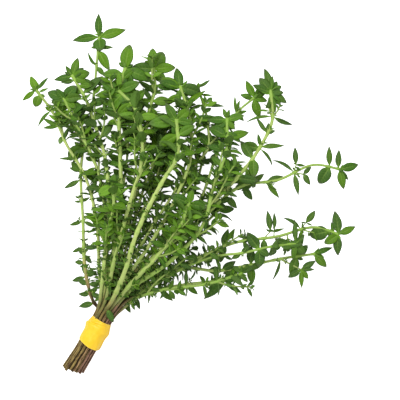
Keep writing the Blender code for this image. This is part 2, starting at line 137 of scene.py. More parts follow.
SPRIGS = (
    # The left edge of the fan
    Sprig(
        course=((-9, 13, 5), (-16, 20, 5), (-33, 46, 4), (-48, 72, 5), (-54, 92, 6), (-70, 131, 9)),
        bare=2, shade=0.7, girth=0.86, woody=70, bushy=0, chosen=134,
        leaves=(
            (0.5, -32, 10.3, 3.6), (0.8, 42, 12.5, 4.7), (0.8, -124, 11.7, 4.1), (1.2, 145, 6, 6.2),
            (5.7, 64, 6.5, 1.8), (5.7, -122, 3, 1.5), (7.3, 122, 10.7, 4.5),
            (15.1, -68, 7.4, 2.4, ON_EDGE), (15.5, 110, 5, 2.5), (24, -140, 5, 2.2), (24, 50, 7, 3),
            (57, -150, 8, 6.4), (57, -171, 9.5, 2.2), (57, -80, 5, 2.5), (57, 40, 6, 2.5),
            (69, -74, 6.3, 3.2), (69, -95, 5.8, 1.8), (69, 60, 5.5, 1.6), (73, -147, 8.3, 2.3),
            (73, 85, 3, 1.1), (84, 32, 4, 1.6), (84, -120, 3, 1.2), (94, -137, 6.3, 1.9),
            (94, 87, 6.2, 1.9), (107, -148, 6, 1.8), (107, 65, 6, 2.2), (111, -60, 4.4, 2),
            (111, 110, 5, 2.2), (115, -110, 4.4, 2.2), (115, 150, 5.4, 2.4), (119, -40, 5, 2.2),
            (119, 80, 5.6, 2.4), (122, -139, 7.2, 2.4), (122, 30, 5, 2.2), (126, -90, 4.8, 2.6),
            (126, 60, 5.6, 2.6), (131, -119, 5, 2.3), (131, 80, 5.2, 2.4), (131, 10, 4.6, 2.2),
            (136, -130, 6.8, 3),
        ),
    ),
    Sprig(
        course=((-15, 31, 8), (-26, 49, 10), (-42, 66, 10), (-59, 76, 8), (-72, 86, 7), (-85, 92, 8)),
        shade=0.55, girth=0.88, bushy=0.3, chosen=24,
        leaves=(
            (0.3, -49, 6.5, 3.5), (0.3, -155, 7.9, 2.4), (0.6, 13, 8, 1.9), (2, 35, 4.9, 1.4),
            (3.5, 174, 5.4, 4.2), (3.5, 80, 2.2, 1.5), (13, 46, 7.5, 3.8), (13, -90, 3.2, 1.9),
            (13, -50, 3, 1.6), (13, -161, 9.2, 2.4, ON_EDGE), (22, -29, 6, 2.5), (22, -92, 8, 2.1),
            (22, -122, 7.5, 1.9), (22, 38, 5.5, 2.5),
        ),
    ),
    Sprig(
        course=((-13, 34, 12), (-28, 66, 16), (-39, 81, 15), (-50, 91, 13), (-59, 99, 12), (-72, 107, 12)),
        shade=0.95, girth=1.04, bushy=0.25, crowded=66,
        leaves=(
            (0.5, -13, 8.4, 3.6), (0.5, -130, 8, 3.6), (0.8, -62, 5.8, 2.2), (1.2, 20, 6, 3),
            (1.6, 80, 6.6, 3.4), (0.3, -94, 3.7, 1.5), (0.8, 53, 7.5, 4.6), (3, -129, 6, 2.4),
            (3, 20, 4, 2.4), (6.5, 60, 6.5, 3.2), (10.8, 17, 11.5, 4.3), (10.8, -89, 6.5, 2.8),
            (17, 45, 9, 4), (17, -150, 8, 3.5),
        ),
    ),
    Sprig(
        course=((-6, 22, 14), (-15, 40, 14), (-26, 58, 13), (-37, 71, 12), (-54, 84, 13), (-70, 95, 13)),
        leaf=8, shade=0.85, girth=0.94, bushy=0.25, crowded=66,
        leaves=(
            (0.5, -94, 7.6, 4.8), (0.5, 16, 7.6, 5.2), (1, 51, 7.6, 4.4), (1.6, -66, 6.4, 3.6),
            (1.6, 96, 6, 3.4), (3.4, 68, 7.4, 3.8), (3.4, -112, 6.6, 3.2), (1.2, -119, 6, 1.6),
            (0.3, -40, 3.2, 1.5), (7, 30, 5, 2.5), (7, -150, 5, 2.5),
        ),
    ),
    # Left of the middle
    Sprig(
        course=((-5, 15, 12), (-12, 33, 18), (-18, 49, 22), (-22, 62, 23), (-27, 69, 22)),
        bare=14, clear=36, leaf=9, shade=0.5, girth=1.10, crowded=50,
        leaves=(
            (0.5, 121, 7.5, 5.2), (0.8, -150, 6.5, 5), (0.5, -20, 5.5, 3.2), (0.6, 60, 5.5, 3),
        ),
    ),
    Sprig(
        course=((-9, 35, 16), (-20, 65, 21), (-31, 84, 20), (-39, 97, 18), (-48, 115, 16), (-50, 123, 15)),
        shade=0.7, girth=1.16, crowded=50,
        leaves=(
            (0.5, -20, 10.6, 6.2), (1, 81, 12, 5.6), (3.6, -120, 9, 4.6), (2.4, 130, 8, 5.2),
            (0.2, -80, 3.5, 1.8), (0.2, 40, 3.5, 1.8), (4, 150, 6, 4), (6, 20, 6.5, 3.2),
            (6, -160, 7, 3.4), (12, 75, 10, 4.4), (12, -110, 8, 4),
        ),
    ),
    Sprig(
        course=((-9, 39, 19), (-16, 70, 26), (-19, 84, 26), (-26, 97, 24), (-37, 108, 21), (-47, 111, 19)),
        shade=0.6, girth=1.10, crowded=50,
        leaves=(
            (0.3, -29, 8.8, 2.6), (0.6, 38, 9.5, 5), (0.6, -129, 10.6, 3.8), (0.7, -87, 9.5, 5),
            (1, 69, 8.5, 4), (2.5, -164, 9, 6.5), (2.5, 120, 8.5, 5.5), (9, 20, 8, 4.2), (9, -160, 8, 4),
            (17, 60, 8.5, 4), (17, -110, 8, 4),
        ),
    ),
    Sprig(
        course=((-5, 30, 10), (-13, 60, 13), (-21, 87, 14), (-29, 108, 14), (-33, 122, 13), (-38, 130, 13)),
        shade=0.75, girth=0.99, crowded=50,
        leaves=(
            (0.5, -37, 9.2, 5), (0.5, 0, 8.2, 6.3), (0.8, 57, 9.2, 5), (0.8, -116, 9.8, 5.4),
            (2.2, 100, 6, 4), (2.2, -70, 6.5, 4), (5, 96, 3.6, 1.8), (5, -131, 5, 3.2),
            (9, -150, 5.4, 2.8), (9, 70, 9.5, 3.6), (17, -60, 7, 2.4), (17, 60, 9, 4.4),
            (17, -120, 6, 2.6),
        ),
    ),
    Sprig(
        course=((-8, 28, 4), (-18, 55, 3), (-27, 80, 3), (-40, 108, 3)),
        bare=6, leaf=10, shade=0.8, girth=0.77, crowded=40,
    ),
    Sprig(
        course=((-2, 20, 7), (-8, 50, 8), (-14, 78, 8), (-16, 100, 8)),
        bare=8, shade=0.8, girth=0.83, bushy=0.5, crowded=35,
    ),
    # The middle
    Sprig(
        course=((0, 19, 17), (-1, 34, 24), (-5, 56, 31), (-6, 81, 33), (-6, 97, 30), (-15, 112, 26)),
        bare=16, clear=92, shade=0.68, girth=1.22, woody=54, crowded=50,
        leaves=(
            (106.5, 125, 6.3, 3), (0.5, -126, 11.5, 6), (0.5, 20, 7.5, 4.6), (0.8, 70, 7, 3.6),
            (0.6, -60, 8.5, 4.2), (1.5, 150, 7, 4.6), (8, -150, 9, 5), (8, 30, 8, 4.2),
        ),
    ),
    Sprig(
        course=((0, 23, 14), (3, 53, 18), (3, 80, 21), (0, 99, 20), (-9, 115, 18), (-22, 128, 16)),
        shade=0.8, girth=0.99, crowded=50,
        leaves=(
            (0.5, -93, 10, 4.1), (0.5, -41, 9, 4.2), (1, -103, 10, 3.8), (0.8, 76, 9.2, 5.6),
            (0.3, -40, 4.2, 2.5), (0.3, -10, 3.2, 1.4), (1, 59, 5.2, 1.7), (1.5, 167, 8.6, 3.2),
            (5, -138, 8.5, 3.4), (5, 120, 7, 3.4), (18, 57, 12, 3.6), (18, -8, 5.4, 2.6),
            (18, -123, 9, 3.8), (18, 150, 6, 3),
        ),
    ),
    Sprig(
        course=((-1, 38, 10), (0, 67, 12), (3, 97, 14), (5, 107, 14), (0, 117, 14), (-14, 132, 13)),
        shade=0.85, girth=0.83, woody=60, bushy=0.25,
        leaves=(
            (0.3, -90, 3.6, 1.8), (0.1, -29, 2.2, 1.5), (0.3, 27, 6.3, 1.5), (4, 65, 5.2, 1.4),
            (4, -130, 2.8, 2), (9, 66, 9.3, 2), (9, -139, 6.2, 1.6),
        ),
    ),
    Sprig(
        course=((-3, 25, 3), (-6, 60, 2.5), (-12, 90, 2.5), (-20, 110, 3)),
        bare=6, leaf=10, shade=0.85, girth=0.83, bushy=0.4, crowded=40,
    ),
    Sprig(
        course=((2, 25, 2.5), (6, 60, 2.5), (8, 90, 2.5), (2, 112, 3)),
        bare=6, leaf=8, shade=0.9, girth=0.83, bushy=0.15,
    ),
    # Right of the middle
    Sprig(
        course=((5, 27, 15), (16, 51, 22), (21, 72, 26), (16, 95, 26), (14, 109, 24), (6, 125, 20)),
        bare=14, clear=60, leaf=7.5, shade=0.65, girth=1.10, woody=54, crowded=50,
        leaves=(
            (1, 44, 7.4, 4.2), (0.5, -45, 4.8, 2.1), (0.5, -15, 4.2, 1.8), (1, -119, 8.2, 4.2),
            (1.2, -155, 7, 4), (1.5, 110, 5, 2.6), (7, -75, 7, 3), (7, 100, 7.5, 3.2),
        ),
    ),
    Sprig(
        course=((5, 36, 13), (12, 65, 18), (21, 89, 20), (27, 119, 19), (26, 135, 17), (18, 148, 15)),
        shade=0.85, girth=1.04, woody=56, bushy=0.3, chosen=46,
        leaves=(
            (0.5, -38, 11, 3.5), (0.8, -68, 7.6, 4.4), (2.2, -84, 7, 3.6), (0.5, -24, 6.6, 2.4),
            (1, 0, 5.6, 3), (1, 28, 5.2, 3), (1.5, 60, 5.4, 2.8), (1.5, 90, 8.2, 3.8), (3, 40, 5, 2.6),
            (1.2, -100, 8.4, 3.4), (2, 112, 6.6, 3), (2.5, 152, 5.4, 2.6), (3.5, 139, 7.4, 2.8),
            (13.6, 90, 9.4, 2.6, ON_EDGE), (13.6, -120, 11.7, 2.6, ON_EDGE), (22.5, -65, 8.6, 1.9),
            (22.5, -20, 5, 2.1), (22.5, 40, 3.2, 1.3), (30, 55, 10.6, 2.7), (30, -33, 5.8, 1.9),
            (31, -110, 7.4, 4.8), (31, 100, 10, 2.2, ON_EDGE), (37, 150, 8.5, 5), (37, -60, 9, 4.6),
            (44, -100, 9.5, 4.4), (43, 120, 9.5, 4.8), (49, 70, 9, 4.2), (50, -120, 8, 3.4),
        ),
        shoots=(Shoot(13.6, -60, 4.5, 6.5), Shoot(13.6, 13, 5.5, 3.4)),
    ),
    Sprig(
        course=((5, 47, 9), (14, 78, 9), (10, 110, 9), (9, 131, 9), (13, 142, 9)),
        shade=0.7, girth=0.88, woody=66, bushy=0.3, chosen=14,
        leaves=(
            (0.5, -56, 8.1, 3.6), (0.6, 21, 8.2, 4.2), (0.8, 70, 6, 3.4), (1, 138, 9, 4),
            (1.5, -95, 6, 2.8), (1, -120, 4.2, 2), (12.7, -35, 8.6, 1.4), (12.7, -18, 6.3, 1.7),
            (12.7, 43, 5, 1.7), (12.7, 104, 4.4, 2),
        ),
    ),
    Sprig(
        course=((4, 30, 20), (9, 50, 27), (12, 66, 29), (10, 80, 28)),
        bare=14, clear=46, leaf=9, shade=0.6, girth=1.10, crowded=50,
        leaves=(
            (0.5, -95, 8, 4.6), (0.5, 75, 7.6, 4.4), (0.8, -15, 6.5, 3.4), (0.8, 165, 6, 3.8),
        ),
    ),
    Sprig(
        course=((6, 30, 6), (14, 60, 6), (20, 85, 6), (22, 105, 6)),
        bare=6, leaf=7, shade=0.8, girth=0.83, bushy=0.15,
    ),
    Sprig(
        course=((8, 28, 2.5), (17, 55, 2.5), (22, 74, 2.5), (25, 86, 3)),
        bare=6, leaf=8, shade=0.85, girth=0.83, bushy=0.1,
    ),
    # The right edge of the fan
    Sprig(
        course=((9, 41, 8), (19, 74, 8), (29, 100, 9), (43, 111, 9), (56, 127, 9), (68, 131, 9)),
        shade=0.95, girth=0.94, bushy=0.2, chosen=64,
        leaves=(
            (1.2, -30, 8.4, 3), (0, 49, 8.8, 4), (0.4, 140, 8.8, 3.8), (0.2, 105, 2.6, 1.2),
            (0.3, 113, 6.2, 2.2), (5.8, -32, 9, 2.8), (5.8, -178, 8.6, 5.8), (5.8, 150, 2, 1.2),
            (24.4, -75, 11, 2.6, ON_EDGE), (24.4, 141, 10.2, 2.6), (39, 41, 8.2, 3.2), (39, 111, 9, 2.6),
            (40, 92, 6.5, 1), (46, 20, 6.5, 2.8), (46, -150, 6, 2.6), (51, 120, 7.5, 3.4),
            (51, -70, 7.5, 3.4), (56, 30, 7, 3), (56, -130, 7, 3), (61, 110, 7, 3.2), (61, -60, 8, 3.6),
            (66, 40, 6.5, 2.6), (66, -140, 6.5, 2.6),
        ),
        shoots=(
            Shoot(24.4, -14, 4.3, 4, ((0.3, -33, 8.2, 2.6), (0.3, 61, 4, 1.6), (1.2, 100, 2.8, 1.4))),
            Shoot(24.4, 71, 5, 4, ((0.3, 18, 4.6, 2.2), (0.3, 120, 5.6, 2.5), (0.3, 95, 3, 1.4))),
        ),
    ),
    Sprig(
        course=((15, 40, 7), (28, 59, 10), (39, 73, 12), (56, 86, 12), (72, 100, 11), (83, 102, 11)),
        shade=1, girth=0.94, bushy=0.15, chosen=42,
        leaves=(
            (0.5, -35, 10.5, 4.5), (0, 35, 8.4, 3.4), (0.5, -152, 7.2, 4.4), (0.8, 152, 9.4, 3.9),
            (0.3, 140, 4, 1.8), (3.6, -34, 4.4, 1.5), (5.5, -134, 8.8, 6.4), (5.5, 140, 2.6, 1.9),
            (5.5, 60, 2.6, 1.6), (20, -73, 9.4, 2.4, ON_EDGE), (20, 150, 8, 2.4), (39, 150, 6.5, 3),
            (60, -14, 8.6, 3.4), (60, 160, 7, 3.2),
        ),
        shoots=(
            Shoot(20, 7, 4.4, 4, ((0.3, 14, 7, 3), (0.3, 80, 3.2, 0.9), (0.3, -115, 2.2, 0.9))),
            Shoot(20, 75, 7, 3, ((0.3, 130, 4.2, 1.2), (3, 150, 2.4, 1))),
            Shoot(39, 14, 5, 5, ((0.3, -34, 9.6, 2.8), (0.3, 50, 6.6, 1.5), (0.6, -80, 2, 1))),
            Shoot(34, -26, 4, 4, ((0.2, -26, 7.8, 2), (0.3, 60, 2.5, 1))),
            Shoot(31, 140, 8, 3.8),
            Shoot(27, 150, 5, 3.4),
            Shoot(60, 10, 4.5, 4, ((0.3, 1, 6, 2.3), (0.3, -25, 4, 1), (1, -90, 2, 1))),
        ),
    ),
    Sprig(
        course=((11, 37, 4.5), (24, 50, 5), (38, 56, 5), (53, 68, 5), (66, 79, 5), (78, 88, 5)),
        bare=12, shade=0.9, girth=0.94, woody=60, bushy=0.15, chosen=50,
        leaves=(
            (0.5, 39, 8.6, 2.8), (0.5, 108, 8, 3.8), (0.2, 80, 4.4, 2.2), (8, -29, 4.7, 1.6),
            (9.5, -37, 8.2, 2.4), (9.5, -22, 10.5, 2.5), (9.5, 18, 6.8, 4.2), (9.5, 170, 9, 4.6),
            (9.5, 90, 3.2, 1.8), (18, 164, 10.3, 2.4, ON_EDGE), (21, 60, 3.2, 1.3), (27, -146, 7.5, 2.9),
            (27, -40, 6.6, 3.8), (33, 150, 8.5, 4), (33, -30, 8, 3.8), (39, 60, 7.5, 3.4),
            (39, -140, 8, 3.8), (48, 28, 7.5, 3.4), (48, -119, 6.5, 3.6),
        ),
        shoots=(
            Shoot(18, 88, 12, 5, (
                (0.3, 30, 7.6, 3), (0.3, 60, 6, 1.8), (0.3, 150, 8.2, 2.4), (0.5, -150, 6.6, 3.2),
                (0.2, 112, 5, 2.6),
            )),
        ),
    ),
    Sprig(
        course=((16, 38, 11), (34, 63, 16), (45, 71, 17), (54, 79, 16), (66, 88, 15)),
        shade=1, girth=0.83, leaf=8, bushy=0.25, chosen=12,
        leaves=(
            (0.5, 20, 5.5, 2.8), (0.5, 110, 6.2, 3.8), (0.5, -33, 10.5, 2.4), (0.8, 160, 7.5, 2.8),
            (1.2, -150, 6, 2.8), (4, 60, 6, 3.4), (4, -100, 6.5, 3.4), (8, -150, 4, 2.4),
            (8, 60, 5.4, 4.2), (19, -65, 8.8, 5.2), (19, 146, 7.7, 4.9), (19, 90, 5.2, 3.6),
            (28, 21, 4.8, 2.2), (28, -150, 5, 2.2),
        ),
    ),
    Sprig(
        course=((8, 22, 10), (22, 38, 15), (36, 48, 15), (50, 62, 14)),
        bare=8, clear=24, leaf=7, shade=0.95, girth=0.88, bushy=0.2,
        leaves=(
            (0.5, 25, 6.2, 2.5), (0.5, -29, 3.4, 1.4), (0.5, -80, 5.2, 2.4), (1, 110, 4.5, 2.2),
            (1, 170, 4, 2),
        ),
    ),
    Sprig(
        course=((6, 22, 3), (19, 35, 2.5), (33, 46, 2.5), (45, 54, 3)),
        bare=4, clear=48, leaf=7, shade=0.85, girth=0.88, woody=66, bushy=0, chosen=54,
        leaves=(
            (0.5, -161, 12.5, 3.6), (0.5, -146, 8, 4.8), (0.3, 100, 9.6, 2.6), (0.5, 56, 5, 2.4),
            (0.8, 20, 6.5, 3), (0.8, -119, 6, 3.4), (20, 100, 7, 2.6), (20, -160, 6.5, 3),
            (20, -30, 6, 2.2), (31, -20, 6, 2), (34, 100, 8, 2.6), (40.5, -50, 6, 1.8),
            (47, 125, 6.4, 2.2), (49, -60, 5.4, 1.8), (53, 120, 5.4, 2.4),
        ),
    ),
)

# Pairs of main leaves: how far each is back from the tip, and its size against the sprig's own leaf
PAIRS_FROM_TIP = (
    (0.3, 0.28),
    (1.0, 0.45),
    (3.0, 1.1),
    (6.5, 1.3),
    (13.0, 1.2),
    (21.0, 1.1),
    (30.0, 1.0),
    (40.0, 0.95),
    (50.0, 0.9),
    (60.0, 0.85),
    (70.0, 0.75),
    (79.0, 0.7),
    (88.0, 0.65),
    (96.0, 0.6),
    (104.0, 0.6),
    (112.0, 0.55),
    (119.0, 0.55),
    (126.0, 0.5),
)


# Rows of pairs: where they may double, how near a row may be to the next, and where the crown ends
CROWDED_FROM = 2.0
LEAST_GAP, LEAST_CROWDED_GAP = 4.5, 2.6
CROWN_LEAVES, CROWN_TUFTS, CROWN = 1.5, 5.0, 8.0
CROWN_YOUTH = 0.45
GROWN_START, GROWN_STRETCH = 10.0, 75.0
CLEAR_SHARE, CLEAR_SKIPS = 0.5, 0.6
# Side shoots: where long ones grow, and the reach and leaf of short and long ones
LONG_SHOOTS_FROM, LONG_SHOOTS_TO, FEW_TUFTS_TO = 10.0, 92.0, 32.0
SHORT_REACH, LONG_REACH = (0.8, 3.2), (6.0, 15.0)
SHORT_LEAF, LONG_LEAF = (2.8, 4.6), (4.6, 7.0)
LONG_SHOOT = 5.0
# Tufts in the axils of narrow listed leaves, and listed side shoots
TUFTS_FROM, TUFTS_TO, NARROW, TUFT_CHANCE = 12, 134, 2.9, 0.8
TUFT_RISE, TUFT_REACH, TUFT_LEAF, TUFT_AGE = 0.3, (0.8, 2.6), (2.4, 3.8), 0.65
SHOOT_RISE = (0.0, 0.25)
# Pairs grown by rule: how far rows stray, the leaves' form, and the age and number of their tufts
ROW_STRAY = (0.97, 1.03)
RATIOS, GROWN_RATIO = (0.26, 0.36), 0.15
CROWN_LEAN, LEAST_LEAN, GROWN_LEAN = 0.75, 0.1, 0.35
UNGROWN_AGE, AXIL_AGES, TUFT_SKIPS = 0.1, (0.55, 0.9), 0.25
# Small leaves near the foot
FOOT_START, FOOT_STRETCH, FOOT_STEP, FOOT_GAP, FOOT_CLEARING = 1.0, 44.0, 4.4, 1.6, 2.5
FOOT_STRAY, FOOT_SIZES = (0.8, 1.2), (3.0, 5.4)
FOOT_RATIO, FOOT_LEAN, FOOT_GROWN = 0.34, 0.35, 0.2
# Age of the leaves along a sprig
AGEING_START, AGEING_STRETCH, AGEING = 25.0, 60.0, 0.4
YOUNG_STRETCH, YOUTH = 8.0, 0.06
# The stem
FIRST_SEED = 4100
STEM_STEP = 1.0
EVENED_CUT = 0.5
TIP_SHARE = 0.67
WOODY_VARIETY = (0.85, 1.15)
MIDDLE_TINT, TINT_PER_MM, TINT_VARIETY = 0.6, 0.07, 0.4


def clamped(value):
    """A value held between 0 and 1."""
    return min(1.0, max(0.0, value))


# Courses of the stems, worked out as in the CAD


def stem_places():
    """Centres of the stems inside the tie, as (x, height): the innermost points of a triangular grid."""
    row_height = STEM_PITCH * math.sqrt(3) / 2
    places = []
    for row in range(-4, 5):
        for column in range(-6, 7):
            x = (column + row / 2 + 0.5) * STEM_PITCH
            z = (row + 1 / 3) * row_height
            places.append((x, z, row))
    places.sort(key=lambda place: round(math.hypot(place[0], place[1]), 4))
    return places[: len(SPRIGS)]


def assign_places():
    """Gives each sprig a place in the tie: low courses take low rows, and each row runs left to right."""
    places = sorted(stem_places(), key=lambda place: (place[2], place[0]))
    by_rise = sorted(range(len(SPRIGS)), key=lambda index: SPRIGS[index].course[1][2])
    assigned = {}
    start = 0
    for row in sorted({place[2] for place in places}):
        in_row = [place for place in places if place[2] == row]
        members = by_rise[start : start + len(in_row)]
        members.sort(key=lambda index: math.atan2(SPRIGS[index].course[1][0], SPRIGS[index].course[1][1]))
        for index, place in zip(members, in_row):
            assigned[index] = (place[0], place[1] + TIE_AXIS_HEIGHT)
        start += len(in_row)
    return assigned


def cut_end(index, x):
    """Where the stem is cut, on the Y axis. The bunch is cut at a slant, and unevenly."""
    uneven = CUT_UNEVENNESS * math.sin(index * GOLDEN_ANGLE)
    return -(TIE_LENGTH / 2 + CUT_LENGTH + uneven) + CUT_SLANT * x


def smooth_course(points, step):
    """A smooth curve through the points, sampled at equal steps along its length."""
    points = np.array(points, float)
    knots = np.concatenate([[0.0], np.cumsum(np.linalg.norm(np.diff(points, axis=0), axis=1))])
    slopes = np.gradient(points, knots, axis=0)
    fine = np.linspace(0.0, knots[-1], int(knots[-1] / FINE_STEP))
    span = np.clip(np.searchsorted(knots, fine, side="right") - 1, 0, len(knots) - 2)
    width = knots[span + 1] - knots[span]
    share = ((fine - knots[span]) / width)[:, None]
    width = width[:, None]
    curve = (
        points[span] * (1 + 2 * share) * (1 - share) ** 2
        + slopes[span] * width * share * (1 - share) ** 2
        + points[span + 1] * share**2 * (3 - 2 * share)
        + slopes[span + 1] * width * share**2 * (share - 1)
    )
    lengths = np.concatenate([[0.0], np.cumsum(np.linalg.norm(np.diff(curve, axis=0), axis=1))])
    count = max(3, round(lengths[-1] / step) + 1)
    wanted = np.linspace(0.0, lengths[-1], count)
    return np.stack([np.interp(wanted, lengths, curve[:, axis]) for axis in range(3)], axis=1)


def stem_half_side(share):
    """Half the side of the square stem, at a share of its length from cut end to tip."""
    return STEM_HALF_SIDE + (STEM_TIP_HALF_SIDE - STEM_HALF_SIDE) * share


def near_pairs(points, owner):
    """Pairs of points on different stems that are near enough to meet in the next few rounds."""
    tree = KDTree(len(points))
    for index, point in enumerate(points):
        tree.insert(point, index)
    tree.balance()
    first, second = [], []
    for index, point in enumerate(points):
        for _, other, _ in tree.find_range(point, PAIR_REACH):
            if other > index and owner[other] != owner[index]:
                first.append(index)
                second.append(other)
    return np.array(first), np.array(second)


def push_apart(courses):
    """Moves the courses off each other, outside the tie, until the stems have clearance."""
    owner = np.concatenate([np.full(len(course), index) for index, course in enumerate(courses)])
    points = np.concatenate(courses)
    share = np.concatenate([np.linspace(0.0, 1.0, len(course)) for course in courses])
    radius = math.sqrt(2) * stem_half_side(share)
    # Stems that cross at an angle pass closer than their sampled points do, so they get more room.
    crossing = np.clip((points[:, 1] - ROOM_START) / ROOM_STRETCH, 0.0, 1.0)
    room = CLEARANCE * (LEAST_ROOM + MORE_ROOM * crossing)
    free = np.clip((points[:, 1] - TIE_LENGTH / 2 - FREE_START) / FREE_STRETCH, 0.0, 1.0)[:, None]
    starts = np.cumsum([0] + [len(course) for course in courses])
    for turn in range(PUSH_ROUNDS):
        if turn % ROUNDS_PER_SEARCH == 0:
            first, second = near_pairs(points, owner)
        offset = points[first] - points[second]
        distance = np.linalg.norm(offset, axis=1) + 1e-9
        needed = radius[first] + radius[second] + room[first] + room[second]
        push = offset * (np.clip(needed - distance, 0.0, None) / distance)[:, None] / 2
        move = np.zeros_like(points)
        np.add.at(move, first, push)
        np.add.at(move, second, -push)
        for begin, end in zip(starts[:-1], starts[1:]):
            part = move[begin:end]
            for _ in range(2):
                part[1:-1] = (part[:-2] + 2 * part[1:-1] + part[2:]) / 4
        points += PUSH_GAIN * move * free
        points[:, 2] = np.maximum(points[:, 2], radius + FLOOR_GAP)
    return [points[begin:end] for begin, end in zip(starts[:-1], starts[1:])]


def stem_courses():
    """The centreline of every stem, from its cut end to its tip."""
    places = assign_places()
    courses = []
    for index, sprig in enumerate(SPRIGS):
        x, z = places[index]
        end = TIE_LENGTH / 2 + STRAIGHT_PAST_TIE
        foot = [(x * CUT_SPREAD + CUT_LEAN, cut_end(index, x), z)]
        foot += [(x, y, z) for y in (-end, -TIE_LENGTH / 2, TIE_LENGTH / 2, end)]
        courses.append(smooth_course(foot + list(sprig.course), COURSE_STEP))
    return push_apart(courses)


class Course:
    """A centreline with a frame that doesn't twist, read at any distance along it."""

    def __init__(self, points, side, roll=0.0):
        self.points = [Vector(point) for point in points]
        self.stations = [0.0]
        for a, b in zip(self.points, self.points[1:]):
            self.stations.append(self.stations[-1] + (b - a).length)
        self.length = self.stations[-1]
        self.across = []
        side = side.copy()
        side.rotate(Matrix.Rotation(roll, 3, self.direction(0)))
        for index in range(len(self.points)):
            direction = self.direction(index)
            side = (side - direction * side.dot(direction)).normalized()
            self.across.append(side.copy())

    def direction(self, index):
        before = self.points[max(0, index - 1)]
        after = self.points[min(len(self.points) - 1, index + 1)]
        return (after - before).normalized()

    def at(self, station):
        """The point, the forward direction and the two directions across the stem at a station."""
        station = min(max(station, 0.0), self.length)
        index = min(bisect.bisect_right(self.stations, station), len(self.stations) - 1) - 1
        share = (station - self.stations[index]) / (self.stations[index + 1] - self.stations[index])
        point = self.points[index].lerp(self.points[index + 1], share)
        forward = self.direction(index).lerp(self.direction(index + 1), share).normalized()
        across = self.across[index].lerp(self.across[index + 1], share)
        across = (across - forward * across.dot(forward)).normalized()
        return point, forward, across, forward.cross(across)


# Plans of the leaves and shoots


class Leaf(NamedTuple):
    """One leaf: where it starts, the way it points, the way its upper face looks, and its form."""

    base: Vector
    direction: Vector
    normal: Vector
    length: float
    width: float
    curl: float
    fold: float
    twist: float
    age: float
    tint: float


class Tube(NamedTuple):
    """One stem or shoot: its course, its radii from foot to tip, its nodes and how woody its foot is."""

    course: Course
    foot_radius: float
    tip_radius: float
    nodes: tuple
    woody: float
    tint: float


class Plan(NamedTuple):
    """Everything that grows in one sprig."""

    tubes: list
    leaves: list


def bearing_direction(bearing, rise):
    """The level direction at a bearing, in degrees from +Y towards +X, tilted up by a rise."""
    angle = math.radians(bearing)
    return Vector((math.sin(angle), math.cos(angle), rise)).normalized()


MOST_TWIST, AGE_VARIETY = 0.45, 0.22


def make_leaf(draw, base, direction, normal, length, width, age, curl=(0.1, 0.6), fold=(0.1, 0.5)):
    """A leaf with the small differences that every leaf has."""
    return Leaf(
        base=base,
        direction=direction,
        normal=normal,
        length=length,
        width=width,
        curl=draw.uniform(*curl),
        fold=draw.uniform(*fold),
        twist=draw.uniform(-MOST_TWIST, MOST_TWIST),
        age=clamped(age + draw.uniform(-AGE_VARIETY, AGE_VARIETY)),
        tint=draw.random(),
    )


# Listed leaves: their rise and roll, their curl and fold, and how full they grow
LEAST_BACK = 0.2
CHOSEN_RISE = (-0.05, 0.3)
LEVEL_ROLL, EDGE_ROLL = 0.35, 0.75
LEVEL_FORM, EDGE_FORM = ((0.1, 0.65), (0.1, 0.45)), ((0.4, 0.8), (0.4, 0.6))
EDGE_AGE = 0.2
FULLNESS = 1.14
# How far out from a stem's middle a leaf or shoot starts, as a share of its radius
SEAT, PAIR_SEAT = 0.5, 0.6


def place_leaf(plan, draw, course, radius, age, back, bearing, length, width, on_edge=False):
    """A listed leaf, back from the tip of its stem."""
    point, forward, _, _ = course.at(course.length - max(LEAST_BACK, back))
    direction = bearing_direction(bearing, draw.uniform(*CHOSEN_RISE))
    side = direction.cross(UP).normalized()
    level = side.cross(direction)
    roll = draw.choice((-EDGE_ROLL, EDGE_ROLL)) if on_edge else draw.uniform(-LEVEL_ROLL, LEVEL_ROLL)
    normal = level * math.cos(roll) + side * math.sin(roll)
    outward = direction - forward * direction.dot(forward)
    base = point + outward * radius * SEAT
    curl, fold = EDGE_FORM if on_edge else LEVEL_FORM
    age += EDGE_AGE if on_edge else 0.0
    length *= FULLNESS
    width *= FULLNESS
    plan.leaves.append(make_leaf(draw, base, direction, normal, length, width, age, curl, fold))


# Leaves of a lying bunch are flattened, more so near the surface under them.
FLATTENING = 0.75
NEAR_SURFACE, STEEPEST_NEAR_SURFACE = 4.0, 0.1
LEAST_LEVEL, LOWEST_FACING = 0.2, -0.3
LEAST_TURNED, MOST_TURNED, GROWN_TURNED = 0.25, 0.5, 0.35


def aim_leaf(draw, outward, forward, lean, surface_gap, grown):
    """A leaf's direction and the way its upper face looks, flattened as in a lying bunch."""
    direction = outward * math.cos(lean) + forward * math.sin(lean)
    direction.z *= FLATTENING
    if surface_gap < NEAR_SURFACE:
        direction.z = max(direction.z, -STEEPEST_NEAR_SURFACE * surface_gap)
    direction.normalize()
    across = forward.cross(outward)
    across = (across - direction * across.dot(direction)).normalized()
    normal = across.cross(direction)
    if normal.dot(forward) < 0:
        normal.negate()
    level = UP - direction * UP.dot(direction)
    if level.length > LEAST_LEVEL and normal.z > LOWEST_FACING:
        level.normalize()
        turned = draw.uniform(LEAST_TURNED * grown, MOST_TURNED + GROWN_TURNED * grown)
        normal = normal.lerp(level, turned)
        normal = (normal - direction * normal.dot(direction)).normalized()
    return direction, normal


# How far the leaves of a pair stray from straight opposite each other, and from their size and shape
PAIR_STRAY = 0.25
PAIR_LENGTHS, PAIR_WIDTHS = (0.8, 1.15), (0.85, 1.15)


